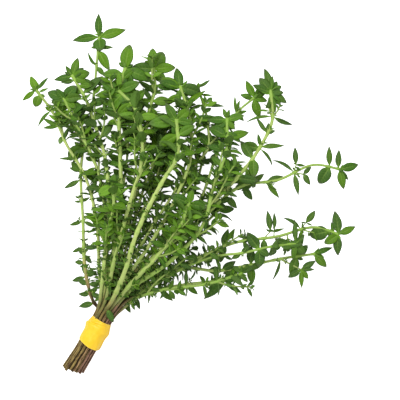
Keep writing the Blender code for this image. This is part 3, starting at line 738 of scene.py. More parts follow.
def add_pair(plan, draw, course, station, radius, turn, size, ratio, lean, age, grown=1.0):
    """Two opposite leaves at a node, level and flat where fully grown.

    Returns the place of each and the directions outward and forward there.
    """
    point, forward, across, through = course.at(station)
    sides = []
    for half in (0.0, math.pi):
        angle = turn + half + draw.uniform(-PAIR_STRAY, PAIR_STRAY)
        outward = across * math.cos(angle) + through * math.sin(angle)
        leaf_lean = lean + draw.uniform(-PAIR_STRAY, PAIR_STRAY)
        direction, normal = aim_leaf(draw, outward, forward, leaf_lean, point.z, grown)
        length = size * draw.uniform(*PAIR_LENGTHS)
        width = length * ratio * draw.uniform(*PAIR_WIDTHS)
        curl = (0.5 - 0.4 * grown, 1.3 - 0.35 * grown)
        base = point + outward * radius * PAIR_SEAT
        plan.leaves.append(make_leaf(draw, base, direction, normal, length, width, age, curl))
        sides.append((point, outward, forward))
    return sides


# Pairs of a side shoot: how far each is back from its tip, and its size against the shoot's own leaf
SHOOT_PAIRS = ((0.3, 0.45), (1.0, 0.8), (2.6, 1.0), (6.0, 1.0), (10.0, 0.9), (14.0, 0.8))
SHOOT_RATIO, SHOOT_LEAN, SHOOT_BARE = 0.42, 0.7, 0.25
# Their course: the lowest tip, the bend towards the stem's tip, and the lift of those with listed leaves
LOWEST_TIP, SHOOT_BEND, SHOOT_LIFT, NEAR_UPRIGHT = 0.6, 0.3, 0.1, 0.9
SHOOT_STEP, SHOOT_STEPS = 0.5, 5
SHOOT_RADIUS, SHOOT_GROWTH, LONGEST_GROWTH = 0.2, 0.02, 12.0
SHOOT_FOOT, SHOOT_TIP = 1.2, 0.8


def add_shoot(plan, draw, start, direction, forward, reach, leaf, age, leaves=()):
    """A side shoot: a thin stem with pairs of small leaves, or with the leaves chosen for it."""
    if start.z + direction.z * reach < LOWEST_TIP:
        direction = Vector((direction.x, direction.y, (LOWEST_TIP - start.z) / reach))
    direction = direction.normalized()
    bend = UP * (SHOOT_LIFT * reach) if leaves else forward * SHOOT_BEND * reach
    points = [start, start + direction * reach / 2, start + direction * reach + bend]
    level = UP if abs(direction.z) < NEAR_UPRIGHT else Vector((1.0, 0.0, 0.0))
    side = direction.cross(level).normalized()
    points = smooth_course(points, max(SHOOT_STEP, reach / SHOOT_STEPS))
    course = Course(points, side, roll=draw.uniform(0, math.pi))
    radius = SHOOT_RADIUS + SHOOT_GROWTH * min(reach, LONGEST_GROWTH)
    nodes = []
    for placed in leaves:
        place_leaf(plan, draw, course, radius, age, *placed)
    for order, (back, share) in enumerate(SHOOT_PAIRS):
        station = course.length - back
        if (station < SHOOT_BARE * reach and order > 1) or (leaves and order > 0):
            break
        turn = order * math.pi / 2
        add_pair(plan, draw, course, station, radius, turn, leaf * share, SHOOT_RATIO, SHOOT_LEAN, age)
        nodes.append(max(0.0, station))
    foot, tip = radius * SHOOT_FOOT, radius * SHOOT_TIP
    plan.tubes.append(Tube(course, foot, tip, tuple(nodes), 0.0, draw.random()))


SHORT_TUFT_LEAN, LONG_TUFT_LEAN = (0.6, 1.2), (0.9, 1.25)


def add_tuft(plan, draw, side, radius, reach, leaf, age):
    """A short shoot in a leaf's axil, on one side of a node."""
    point, outward, forward = side
    lean = draw.uniform(*(SHORT_TUFT_LEAN if reach < LONG_SHOOT else LONG_TUFT_LEAN))
    direction = outward * math.cos(lean) + forward * math.sin(lean)
    start = point + outward * radius * SEAT
    add_shoot(plan, draw, start, direction, forward, reach, leaf, age)


def pair_rows(sprig):
    """The rows of pairs up a sprig, with one more between each two where the sprig is crowded."""
    rows = list(PAIRS_FROM_TIP)
    for (back, share), (next_back, next_share) in zip(PAIRS_FROM_TIP, PAIRS_FROM_TIP[1:]):
        if CROWDED_FROM < back < sprig.crowded:
            rows.append(((back + next_back) / 2, (share + next_share) / 2))
    return sorted(rows)


def age_at(sprig, back):
    """Leaves are younger at the tip and older towards the foot."""
    ageing = AGEING * clamped((back - AGEING_START) / AGEING_STRETCH)
    youth = YOUTH * max(0.0, 1.0 - back / YOUNG_STRETCH)
    return sprig.shade - youth + ageing


def add_chosen_growth(plan, draw, course, sprig, radius_at):
    """The listed leaves and side shoots, with tufts by the narrow leaves. Returns their nodes."""
    nodes = set()
    for placed in sprig.leaves:
        back, bearing, _, width = placed[:4]
        station = course.length - back
        age = age_at(sprig, back)
        place_leaf(plan, draw, course, radius_at(station), age, *placed)
        nodes.add(max(0.0, station))
        if TUFTS_FROM < back < TUFTS_TO and width < NARROW and draw.random() < TUFT_CHANCE:
            point, forward, _, _ = course.at(station)
            side = point, bearing_direction(bearing, TUFT_RISE), forward
            reach, leaf = draw.uniform(*TUFT_REACH), draw.uniform(*TUFT_LEAF)
            add_tuft(plan, draw, side, radius_at(station), reach, leaf, age * TUFT_AGE)
    for shoot in sprig.shoots:
        point, forward, _, _ = course.at(course.length - shoot.back)
        direction = bearing_direction(shoot.bearing, draw.uniform(*SHOOT_RISE))
        add_shoot(plan, draw, point, direction, forward, shoot.reach, shoot.leaf, sprig.shade, shoot.leaves)
    return nodes


def add_pair_rows(plan, draw, course, sprig, bare, radius_at, nodes):
    """The pairs that fill the sprig between the listed leaves, and the shoots in their axils."""
    taken = sorted(nodes)
    for order, (back, share) in enumerate(pair_rows(sprig)):
        station = course.length - back * draw.uniform(*ROW_STRAY)
        if station < bare:
            break
        if CROWDED_FROM < back < sprig.chosen:
            continue
        least_gap = LEAST_CROWDED_GAP if back < sprig.crowded else LEAST_GAP
        if taken and back > CROWN_LEAVES and min(abs(station - node) for node in taken) < least_gap:
            continue
        grown = clamped((station - bare - GROWN_START) / GROWN_STRETCH)
        clear = station < CUT_LENGTH + TIE_LENGTH + sprig.clear
        radius = radius_at(station)
        size = sprig.leaf * share * (CLEAR_SHARE if clear else 1.0)
        ratio = draw.uniform(*RATIOS) + GROWN_RATIO * grown
        lean = CROWN_LEAN if back < CROWN else LEAST_LEAN + GROWN_LEAN * grown
        youth = CROWN_YOUTH if back < CROWN_LEAVES else 1.0
        age = age_at(sprig, back) * youth + UNGROWN_AGE * (1 - grown)
        turn = order * math.pi / 2
        sides = add_pair(plan, draw, course, station, radius, turn, size, ratio, lean, age, grown)
        nodes.add(station)
        if back < CROWN_TUFTS or (clear and draw.random() < CLEAR_SKIPS):
            continue
        for side in sides:
            reach = draw.uniform(*SHORT_REACH)
            if not clear and LONG_SHOOTS_FROM < back < LONG_SHOOTS_TO and draw.random() < sprig.bushy:
                reach = draw.uniform(*LONG_REACH)
            elif back < FEW_TUFTS_TO and draw.random() < TUFT_SKIPS:
                continue
            leaf = draw.uniform(*(SHORT_LEAF if reach < LONG_SHOOT else LONG_LEAF))
            add_tuft(plan, draw, side, radius, reach, leaf, age * draw.uniform(*AXIL_AGES))


def add_foot_leaves(plan, draw, course, sprig, bare, radius_at, nodes):
    """Small dark leaves, close together, just above the bare foot. Clear stems have few."""
    station = bare + FOOT_START
    step = FOOT_STEP * (FOOT_CLEARING if sprig.clear else 1.0)
    age = sprig.shade + AGEING
    while station < bare + FOOT_STRETCH:
        station += step * draw.uniform(*FOOT_STRAY)
        if min([abs(station - node) for node in nodes] + [FOOT_STEP]) < FOOT_GAP:
            continue
        size = draw.uniform(*FOOT_SIZES)
        turn = draw.uniform(0.0, math.pi)
        radius = radius_at(station)
        add_pair(
            plan, draw, course, station, radius, turn, size, FOOT_RATIO, FOOT_LEAN, age, FOOT_GROWN
        )
        nodes.add(station)


def plan_sprig(index, sprig, points):
    """Everything that grows in one sprig: its leaves, its side shoots and its stem."""
    draw = random.Random(FIRST_SEED + index)
    plan = Plan([], [])
    points = points.copy()
    points[0][1] += EVENED_CUT * CUT_UNEVENNESS * math.sin(index * GOLDEN_ANGLE)
    side = (Vector(points[1]) - Vector(points[0])).cross(UP).normalized()
    course = Course(smooth_course(points, STEM_STEP), side, roll=index * GOLDEN_ANGLE)
    tip_radius = TIP_SHARE * sprig.girth

    def radius_at(station):
        return sprig.girth + (tip_radius - sprig.girth) * station / course.length

    nodes = add_chosen_growth(plan, draw, course, sprig, radius_at)
    bare = CUT_LENGTH + TIE_LENGTH + sprig.bare
    add_pair_rows(plan, draw, course, sprig, bare, radius_at, nodes)
    add_foot_leaves(plan, draw, course, sprig, bare, radius_at, nodes)
    woody = sprig.woody * draw.uniform(*WOODY_VARIETY)
    # The feet are golden on the left of the bunch and purplish on the right.
    tint = MIDDLE_TINT - TINT_PER_MM * points[0][0] + draw.uniform(-TINT_VARIETY, TINT_VARIETY)
    nodes = tuple(sorted(nodes))
    plan.tubes.append(Tube(course, sprig.girth, tip_radius, nodes, woody, clamped(tint)))
    return plan


# Meshes


def new_mesh_object(name, points, faces, attributes, material):
    """Makes an object in metres from points in millimetres, with its attributes on the points."""
    mesh = bpy.data.meshes.new(name)
    mesh.from_pydata((np.asarray(points) * METRES_PER_MM).tolist(), [], faces)
    for attribute, values in attributes.items():
        layer = mesh.attributes.new(attribute, "FLOAT_VECTOR", "POINT")
        layer.data.foreach_set("vector", np.asarray(values, np.float32).ravel())
    mesh.materials.append(material)
    mesh.shade_smooth()
    obj = bpy.data.objects.new(name, mesh)
    bpy.context.scene.collection.objects.link(obj)
    return obj


def grid_faces(rows, ring, start):
    """Faces of a tube of rows with a ring of points each, and a face at either end."""
    faces = []
    for row in range(rows - 1):
        for place in range(ring):
            a = start + row * ring + place
            b = start + row * ring + (place + 1) % ring
            faces.append((a, b, b + ring, a + ring))
    faces.append(tuple(start + place for place in reversed(range(ring))))
    faces.append(tuple(start + (rows - 1) * ring + place for place in range(ring)))
    return faces


# The outline: its stalk, where it is widest, how pointed it is, and which leaves count as round
STALK, STALK_WIDTH, LEAST_WIDTH = 0.06, 0.14, 0.02
WIDEST_BEND, POINTED, BLUNTED = 0.78, 0.95, 0.4
ROUND_FROM, ROUND_STRETCH = 0.3, 0.4
# The blade: its thickness, the groove of its midrib, the droop of its edges and the bend along it
THICKNESS, THIN, FULL_GROOVE = 0.17, 0.5, 1.2
GROOVE_DEPTH, GROOVE_WIDTH = 0.05, 0.13
EDGE_DROOP = 0.22
FOLD_NARROWING = 0.8
ROW_BEND, CURL_BEND = 0.9, 1.3
PRESSED_HEIGHT, PRESSED_THICKNESS = 0.12, 0.1


def blade_profile(along, roundness):
    """Half-width of a leaf against its widest: a short stalk, then an oval that is blunt on round leaves."""
    blade = np.clip((along - STALK) / (1 - STALK), 0.0, 1.0)
    oval = np.sin(math.pi * blade**WIDEST_BEND) ** (POINTED - BLUNTED * roundness)
    return np.maximum(oval, STALK_WIDTH * (1 - along)) + LEAST_WIDTH


def column(leaves, field):
    """One number of every leaf, as a column for the arrays of points."""
    return np.array([getattr(leaf, field) for leaf in leaves], float)[:, None, None]


def vectors(leaves, field):
    """One vector of every leaf, for the arrays of points."""
    return np.array([tuple(getattr(leaf, field)) for leaf in leaves], float)[:, None, None, :]


def leaf_arrays(leaves, rows, across):
    """Points and attributes of many leaves at once, each a ring of points at each of its rows."""
    upper = np.array(across)
    lower = upper[1:-1][::-1]
    face = np.concatenate([np.ones(len(upper)), -np.ones(len(lower))])
    face[[0, len(upper) - 1]] = 0.0
    across = np.concatenate([upper, lower])[None, None, :]
    along = (np.linspace(0.0, 1.0, rows) ** ROW_BEND)[None, :, None]
    length, curl, fold = (column(leaves, field) for field in ("length", "curl", "fold"))
    width = column(leaves, "width") / 2

    # The midrib's arc
    bend = curl * along**CURL_BEND
    step = np.diff(along, prepend=0.0, axis=1)
    arc = np.cumsum(np.cos(bend) * step, axis=1) * length
    drop = -np.cumsum(np.sin(bend) * step, axis=1) * length

    # The blade across it
    roundness = np.clip((2 * width / length - ROUND_FROM) / ROUND_STRETCH, 0.0, 1.0)
    half = width * blade_profile(along, roundness)
    thick = THICKNESS * np.sqrt(np.clip(1 - across**2, 0, 1)) * np.minimum(1.0, THIN + half)
    groove = GROOVE_DEPTH * np.exp(-((across / GROOVE_WIDTH) ** 2)) * np.minimum(half, FULL_GROOVE)
    height = half * (fold * np.abs(across) - EDGE_DROOP * across**4) - groove + face * thick
    height = height - np.where(face < 0, groove, 0.0)
    sideways = half * across * np.cos(np.abs(fold) * FOLD_NARROWING)

    # The blade twisted round the midrib, then laid along its arc
    turn = column(leaves, "twist") * along
    aside = sideways * np.cos(turn) - height * np.sin(turn)
    lift = sideways * np.sin(turn) + height * np.cos(turn)
    ahead = arc + lift * np.sin(bend)
    rise = drop + lift * np.cos(bend)
    direction, normal = vectors(leaves, "direction"), vectors(leaves, "normal")
    side = np.cross(direction, normal)
    points = vectors(leaves, "base") + side * aside[..., None]
    points = points + direction * ahead[..., None] + normal * rise[..., None]
    # Leaves pressed on the surface lie flat on it, with their thickness kept.
    lowest = PRESSED_HEIGHT + PRESSED_THICKNESS * (1 + face)[None, None, :]
    points[..., 2] = np.maximum(points[..., 2], lowest)

    place = np.empty(points.shape)
    place[..., 0] = across
    place[..., 1] = along
    place[..., 2] = 0.5 + 0.5 * face
    tone = np.zeros(points.shape)
    tone[..., 0] = column(leaves, "age")
    tone[..., 1] = column(leaves, "tint")
    return points, place, tone


LARGE_ACROSS = (-1.0, -0.82, -0.5, -0.2, 0.0, 0.2, 0.5, 0.82, 1.0)
SMALL_ACROSS = (-1.0, -0.5, 0.0, 0.5, 1.0)
LARGE_ROWS, SMALL_ROWS = 13, 8
LARGE_LEAF = 5.0


def make_leaves(name, leaves, material):
    """All the leaves of a sprig in one mesh, the larger ones finer."""
    points, places, tones, faces = [], [], [], []
    start = 0
    for chosen, rows, across in (
        ([leaf for leaf in leaves if leaf.length >= LARGE_LEAF], LARGE_ROWS, LARGE_ACROSS),
        ([leaf for leaf in leaves if leaf.length < LARGE_LEAF], SMALL_ROWS, SMALL_ACROSS),
    ):
        if not chosen:
            continue
        made, place, tone = leaf_arrays(chosen, rows, across)
        ring = made.shape[2]
        for _ in chosen:
            faces += grid_faces(rows, ring, start)
            start += rows * ring
        points.append(made.reshape(-1, 3))
        places.append(place.reshape(-1, 3))
        tones.append(tone.reshape(-1, 3))
    attributes = {"leaf_place": np.concatenate(places), "leaf_tone": np.concatenate(tones)}
    return new_mesh_object(name, np.concatenate(points), faces, attributes, material)


# A stem is slim where it is held, and thickens past the tie.
SLIM_RADIUS, SLIM_VARIETY, SLIM_GROWTH = 0.6, 0.16, 0.018
TAPER_BEND = 1.1
NODE_LENGTH, NODE_SWELLING = 0.9, 0.28
WOODY_START = 12.0
PITH_SHARE = 0.72
SQUARENESS = 3.2
# Painted shade: stems are darker where they face into the bunch, and all round just above the tie.
PAINTED_SHADE_STRETCH, FACING_LIMIT, FACING_STRETCH = 30.0, 0.92, 1.1
GATHERED_FROM_TIE, GATHERED_STRETCH, GATHERED = 6.0, 12.0, 0.4
STEM_RING, STEM_ROW, SHOOT_RING, SHOOT_ROW = 16, 0.9, 8, 0.6
LOWEST_STEM = 0.03


def stem_shelter(past_tie, offset, point):
    """How much painted shade a point of the stem's surface gets, by its distance past the tie and the way it
    faces.
    """
    bound = clamped(1.0 - past_tie / PAINTED_SHADE_STRETCH)
    gathered = math.exp(-(((past_tie - GATHERED_FROM_TIE) / GATHERED_STRETCH) ** 2))
    outward = Vector((point.x, 0.0, point.z - TIE_AXIS_HEIGHT)).normalized()
    facing_in = clamped((FACING_LIMIT - offset.dot(outward)) / FACING_STRETCH)
    return max(bound * facing_in, GATHERED * gathered)


def tube_arrays(tube, ring, step):
    """Points, faces and attributes of a stem: square with rounded edges, and swollen at its nodes."""
    course = tube.course
    rows = max(4, round(course.length / step) + 1)
    angles = np.arange(ring) * 2 * math.pi / ring
    form = (np.abs(np.cos(angles)) ** SQUARENESS + np.abs(np.sin(angles)) ** SQUARENESS) ** (-1 / SQUARENESS)
    form = form / form.mean()
    slim = SLIM_RADIUS + SLIM_VARIETY * tube.tint
    points, place, tone, painted_shade = [], [], [], []
    for row in range(-1, rows):
        station = course.length * max(0, row) / (rows - 1)
        share = station / course.length
        past_tie = station - CUT_LENGTH - TIE_LENGTH
        point, _, across, through = course.at(station)
        radius = tube.foot_radius + (tube.tip_radius - tube.foot_radius) * share**TAPER_BEND
        radius = min(radius, slim + SLIM_GROWTH * max(0.0, past_tie))
        nearness = max([math.exp(-(((station - node) / NODE_LENGTH) ** 2)) for node in tube.nodes] + [0.0])
        radius *= 1 + NODE_SWELLING * nearness
        wood = clamped(1.0 - (station - WOODY_START) / tube.woody) if tube.woody else 0.0
        if row < 0:
            # The face of the cut: a smaller ring at the very end, marked for its own colour
            radius *= PITH_SHARE
            share = -1.0
        for angle, reach in zip(angles, form):
            offset = across * math.cos(angle) + through * math.sin(angle)
            points.append(point + offset * radius * reach)
            place.append((angle / (2 * math.pi), station / 10.0, nearness))
            tone.append((wood, tube.tint, share))
            # Painted shade, on the faces turned into the bunch and all round just above the tie
            dark = stem_shelter(past_tie, offset, point) if tube.woody else 0.0
            painted_shade.append((dark, 0.0, 0.0))
    attributes = {"stem_place": place, "stem_tone": tone, "stem_shelter": painted_shade}
    return points, grid_faces(rows + 1, ring, 0), attributes


def make_stems(name, tubes, material):
    """A sprig's stem and its side shoots in one mesh."""
    points, faces, attributes = [], [], {}
    for tube in tubes:
        ring, step = (STEM_RING, STEM_ROW) if tube.woody else (SHOOT_RING, SHOOT_ROW)
        made, sides, values = tube_arrays(tube, ring, step)
        faces += [tuple(corner + len(points) for corner in side) for side in sides]
        points += made
        for attribute, vectors_made in values.items():
            attributes.setdefault(attribute, []).extend(vectors_made)
    points = np.array([tuple(point) for point in points])
    points[:, 2] = np.maximum(points[:, 2], LOWEST_STEM)
    return new_mesh_object(name, points, faces, attributes, material)


# The tie


TAPE_THICKNESS = 0.11
TAPE_PITCH = 0.14
TAPE_START = math.radians(-110)
TAPE_STEPS, TAPE_ROWS = 140, 44
TAPE_GAP = 0.02
FOLD_ROOM = 0.55


def facing(angle, towards, sharpness):
    """1 where an angle faces a bearing round the tie, in degrees, falling to 0 away from it."""
    return (0.5 + 0.5 * np.cos(angle - math.radians(towards))) ** sharpness


def swell(offset, width):
    """A rounded ridge: 1 at its top, falling to 0 on both sides."""
    return np.exp(-((offset / width) ** 2))


def tie_radius(angle, y, fold_height):
    """Radius of the tie's surface: nearly round, drawn in at its ends, with soft folds and bumps."""
    share = y / (TIE_LENGTH / 2)
    radius = TIE_OUTER_RADIUS - FOLD_ROOM
    radius -= 0.6 * np.clip((share - 0.5) / 0.5, 0, 1) ** 1.5
    radius -= 0.1 * np.clip((-share - 0.7) / 0.3, 0, 1) ** 2
    # On the left, a fold with a groove above it
    left = facing(angle, 165, 2)
    fold = share - 0.4 - 0.1 * np.cos(angle - math.radians(90))
    radius += 1.5 * fold_height * left * swell(fold + 0.08, 0.24)
    radius -= 1.1 * fold_height * left * swell(fold - 0.12, 0.05)
    # Over the top, a crease with a low ridge beside it
    over = facing(angle, 105, 3)
    crease = share - 0.62 - 0.22 * np.cos(angle - math.radians(20))
    radius += 0.35 * over * swell(crease - 0.12, 0.12) - 0.4 * over * swell(crease, 0.05)
    # On the right, a broad bulge that narrows towards the cut ends
    right = facing(angle, 8, 3)
    radius += 1.3 * fold_height * right * swell(share - 0.24, 0.3)
    radius += fold_height * right * np.clip(-share, 0, 1) ** 0.7
    # Along the top, a ridge that stands highest half way
    ridge = np.exp((np.cos(angle - math.radians(78)) - 1) * 14)
    radius += 0.45 * ridge * (1 - 0.6 * share**2)
    radius += 0.05 * np.sin(3 * angle + 2.0 * share) + 0.045 * np.sin(7 * angle - 2.1 * share + 1.0)
    return radius + 0.03 * np.sin(13 * angle + 2.6 * share)


def tie_strip(settings):
    """The wound tape: a thin closed strip that spirals outwards, with each turn's edges a little astray."""
    steps = int(settings.turns * TAPE_STEPS) + 1
    winding = np.linspace(0.0, settings.turns, steps)[:, None]
    share = np.linspace(-1.0, 1.0, TAPE_ROWS)[None, :]
    angle = TAPE_START + 2 * math.pi * winding
    low = -TIE_LENGTH / 2 + 0.25 - 1.1 * facing(angle, 62, 3)
    low = low + 0.16 * np.sin(2 * math.pi * winding * 0.63 + 0.5)
    high = TIE_LENGTH / 2 - 0.15 + 0.2 * np.sin(2 * math.pi * winding * 0.71 + 2.0)
    y = low + (high - low) * (share + 1) / 2
    surface = tie_radius(angle, y, settings.fold_height / METRES_PER_MM)
    inner = surface - TAPE_PITCH * (settings.turns - winding)
    edge = np.clip((1 - np.abs(share)) * 6, 0.0, 1.0)
    layers = []
    for offset in (0.0, TAPE_THICKNESS):
        radius = inner + offset * (0.35 + 0.65 * edge)
        x = radius * np.cos(angle)
        z = TIE_AXIS_HEIGHT + radius * np.sin(angle)
        z = np.maximum(z, TAPE_GAP + offset + TAPE_PITCH * winding * 0.15)
        layers.append(np.stack([x, np.broadcast_to(y, x.shape), z], axis=-1))
    across = np.broadcast_to(share, (steps, TAPE_ROWS))
    around = np.broadcast_to(winding, (steps, TAPE_ROWS))
    return layers, across, around


def make_tie(material, settings):
    """The tape as one closed mesh: its inner face, its outer face and its four edges."""
    layers, across, around = tie_strip(settings)
    steps, rows = across.shape
    inner, outer = (layer.reshape(-1, 3) for layer in layers)
    faces = []
    for step in range(steps - 1):
        for row in range(rows - 1):
            a = step * rows + row
            b = a + rows
            faces.append((a, a + 1, b + 1, b))
            c, d = a + steps * rows, b + steps * rows
            faces.append((c, d, d + 1, c + 1))
    shift = steps * rows
    for step in range(steps - 1):
        a, b = step * rows, (step + 1) * rows
        faces.append((a, b, b + shift, a + shift))
        a, b = a + rows - 1, b + rows - 1
        faces.append((b, a, a + shift, b + shift))
    for row in range(rows - 1):
        a = row
        faces.append((a + 1, a, a + shift, a + 1 + shift))
        a = (steps - 1) * rows + row
        faces.append((a, a + 1, a + 1 + shift, a + shift))
    place = np.stack([across, around, np.zeros_like(across)], axis=-1).reshape(-1, 3)
    points = np.concatenate([inner, outer])
    return new_mesh_object("tie_tape", points, faces, {"tape_place": np.tile(place, (2, 1))}, material)


# Materials


def add_node(tree, kind, **settings):
    """A shader node with its properties set, and its inputs where a name matches one."""
    node = tree.nodes.new(kind)
    for name, value in settings.items():
        if name in node.inputs:
            node.inputs[name].default_value = value
        else:
            setattr(node, name, value)
    return node


def math_node(tree, operation, first, second=None):
    """A Math node on sockets or plain numbers. Returns its output."""
    node = tree.nodes.new("ShaderNodeMath")
    node.operation = operation
    for index, value in enumerate((first, second)):
        if value is None:
            continue
        if isinstance(value, (int, float)):
            node.inputs[index].default_value = value
        else:
            tree.links.new(value, node.inputs[index])
    return node.outputs[0]


def times(tree, first, second):
    """The product of two sockets, or of a socket and a number."""
    return math_node(tree, "MULTIPLY", first, second)


def range_node(tree, value, low, high, to_low=0.0, to_high=1.0):
    """Maps a value's range smoothly on another. Returns the result."""
    node = tree.nodes.new("ShaderNodeMapRange")
    node.interpolation_type = "SMOOTHSTEP"
    for index, number in enumerate((low, high, to_low, to_high), start=1):
        node.inputs[index].default_value = number
    tree.links.new(value, node.inputs[0])
    return node.outputs[0]


def mix_node(tree, factor, first, second):
    """A colour Mix node on sockets, numbers or plain colours. Returns its output."""
    node = tree.nodes.new("ShaderNodeMix")
    node.data_type = "RGBA"
    for index, value in ((0, factor), (6, first), (7, second)):
        if isinstance(value, bpy.types.NodeSocket):
            tree.links.new(value, node.inputs[index])
        elif isinstance(value, (int, float)):
            node.inputs[index].default_value = value
        else:
            node.inputs[index].default_value = (*value, 1.0)
    return node.outputs[2]


def scaled(tree, color, gain):
    """A colour made brighter or darker. Returns the result."""
    node = tree.nodes.new("ShaderNodeVectorMath")
    node.operation = "SCALE"
    tree.links.new(color, node.inputs[0])
    tree.links.new(gain, node.inputs["Scale"])
    return node.outputs[0]


def new_group(name, inputs, outputs):
    """An empty node group with its sockets: (name, kind, default) and (name, kind)."""
    group = bpy.data.node_groups.new(name, "ShaderNodeTree")
    for socket, kind, default in inputs:
        made = group.interface.new_socket(socket, in_out="INPUT", socket_type=kind)
        if default is not None:
            made.default_value = default
    for socket, kind in outputs:
        group.interface.new_socket(socket, in_out="OUTPUT", socket_type=kind)
    return group, group.nodes.new("NodeGroupInput"), group.nodes.new("NodeGroupOutput")


def mottle_group():
    """Soft patches and fine specks of lighter and darker tone, on a base colour."""
    if "Plant Mottle" in bpy.data.node_groups:
        return bpy.data.node_groups["Plant Mottle"]
    group, inside, outside = new_group(
        "Plant Mottle",
        (
            ("Color", "NodeSocketColor", (0.1, 0.2, 0.05, 1.0)),
            ("Patch Scale", "NodeSocketFloat", 300.0),
            ("Speck Scale", "NodeSocketFloat", 2200.0),
            ("Strength", "NodeSocketFloat", 0.25),
        ),
        (("Color", "NodeSocketColor"), ("Height", "NodeSocketFloat")),
    )
    place = group.nodes.new("ShaderNodeTexCoord")
    patches = add_node(group, "ShaderNodeTexNoise", Detail=3.0)
    specks = add_node(group, "ShaderNodeTexNoise", Detail=2.0)
    for noise, scale in ((patches, "Patch Scale"), (specks, "Speck Scale")):
        group.links.new(place.outputs["Object"], noise.inputs["Vector"])
        group.links.new(inside.outputs[scale], noise.inputs["Scale"])
    both = math_node(group, "ADD", patches.outputs["Fac"], specks.outputs["Fac"])
    swing = times(group, math_node(group, "SUBTRACT", both, 1.0), inside.outputs["Strength"])
    gain = math_node(group, "ADD", times(group, swing, 2.0), 1.0)
    group.links.new(scaled(group, inside.outputs["Color"], gain), outside.inputs["Color"])
    group.links.new(both, outside.inputs["Height"])
    return group


def new_material(name, roughness, specular=0.5):
    """A material with its Principled shader, and the tree to build on."""
    material = bpy.data.materials.new(name)
    material.use_nodes = True
    tree = material.node_tree
    shader = tree.nodes["Principled BSDF"]
    shader.inputs["Roughness"].default_value = roughness
    shader.inputs["Specular IOR Level"].default_value = specular
    return material, tree, shader


def attribute_parts(tree, name):
    """The three numbers of a vector attribute."""
    source = add_node(tree, "ShaderNodeAttribute", attribute_name=name)
    split = tree.nodes.new("ShaderNodeSeparateXYZ")
    tree.links.new(source.outputs["Vector"], split.inputs[0])
    return split.outputs[0], split.outputs[1], split.outputs[2]


def place_group(tree, group, **values):
    """A node group in a material, with its own values. Sockets are linked and numbers are set."""
    node = tree.nodes.new("ShaderNodeGroup")
    node.node_tree = group
    for name, value in values.items():
        socket = node.inputs[name.replace("_", " ").title()]
        if isinstance(value, bpy.types.NodeSocket):
            tree.links.new(value, socket)
        else:
            socket.default_value = value
    return node


def add_bump(tree, shader, height, strength, distance):
    """A Bump from a height to the shader's normal."""
    node = add_node(tree, "ShaderNodeBump", Strength=strength, Distance=distance)
    tree.links.new(height, node.inputs["Height"])
    tree.links.new(node.outputs[0], shader.inputs["Normal"])


VEINS_PER_LEAF = 7.0


def leaf_material(settings):
    """Thyme leaf: green by age, yellower at its base and duller at its tip, with a pale midrib and veins."""
    material, tree, shader = new_material("thyme_leaf", 0.5, 0.12)
    across, along, upper = attribute_parts(tree, "leaf_place")
    age, tint, _ = attribute_parts(tree, "leaf_tone")
    from_midrib = math_node(tree, "ABSOLUTE", across)

    young = mix_node(tree, tint, settings.young_green, settings.lime_green)
    grown = mix_node(tree, range_node(tree, tint, 0.15, 0.85), settings.leaf_green, settings.deep_green)
    color = mix_node(tree, range_node(tree, age, 0.0, 0.7), young, grown)
    color = mix_node(tree, range_node(tree, age, 0.68, 0.98, 0.0, 0.75), color, settings.old_green)
    foot = times(tree, range_node(tree, along, 0.3, 0.0), 0.45)
    color = mix_node(tree, foot, color, settings.young_green)
    point = times(tree, range_node(tree, along, 0.72, 1.0), range_node(tree, age, 0.2, 0.6))
    color = mix_node(tree, times(tree, point, 0.65), color, settings.point_grey)

    spacing = math_node(tree, "SUBTRACT", times(tree, along, VEINS_PER_LEAF), from_midrib)
    wave = math_node(tree, "SINE", times(tree, spacing, 2 * math.pi))
    veins = times(tree, range_node(tree, wave, 0.72, 1.0), range_node(tree, from_midrib, 0.9, 0.3))
    color = mix_node(tree, times(tree, veins, 0.12), color, settings.vein_green)
    midrib = range_node(tree, from_midrib, 0.14, 0.03)
    rib = times(tree, midrib, range_node(tree, along, 1.0, 0.1, 0.0, 0.3))
    color = mix_node(tree, rib, color, settings.vein_green)
    below = times(tree, range_node(tree, upper, 0.55, 0.3), 0.6)
    color = mix_node(tree, below, color, settings.underside_green)

    mottle = place_group(
        tree, mottle_group(), color=color, patch_scale=350.0, speck_scale=2600.0, strength=0.22
    )
    tree.links.new(mottle.outputs["Color"], shader.inputs["Base Color"])
    tree.links.new(range_node(tree, upper, 0.3, 0.6, 0.65, 0.48), shader.inputs["Roughness"])
    ridges = math_node(tree, "ADD", times(tree, veins, -0.5), times(tree, midrib, -0.8))
    height = math_node(tree, "ADD", ridges, times(tree, mottle.outputs["Height"], 0.8))
    add_bump(tree, shader, height, 0.45, 0.00012)
    return material


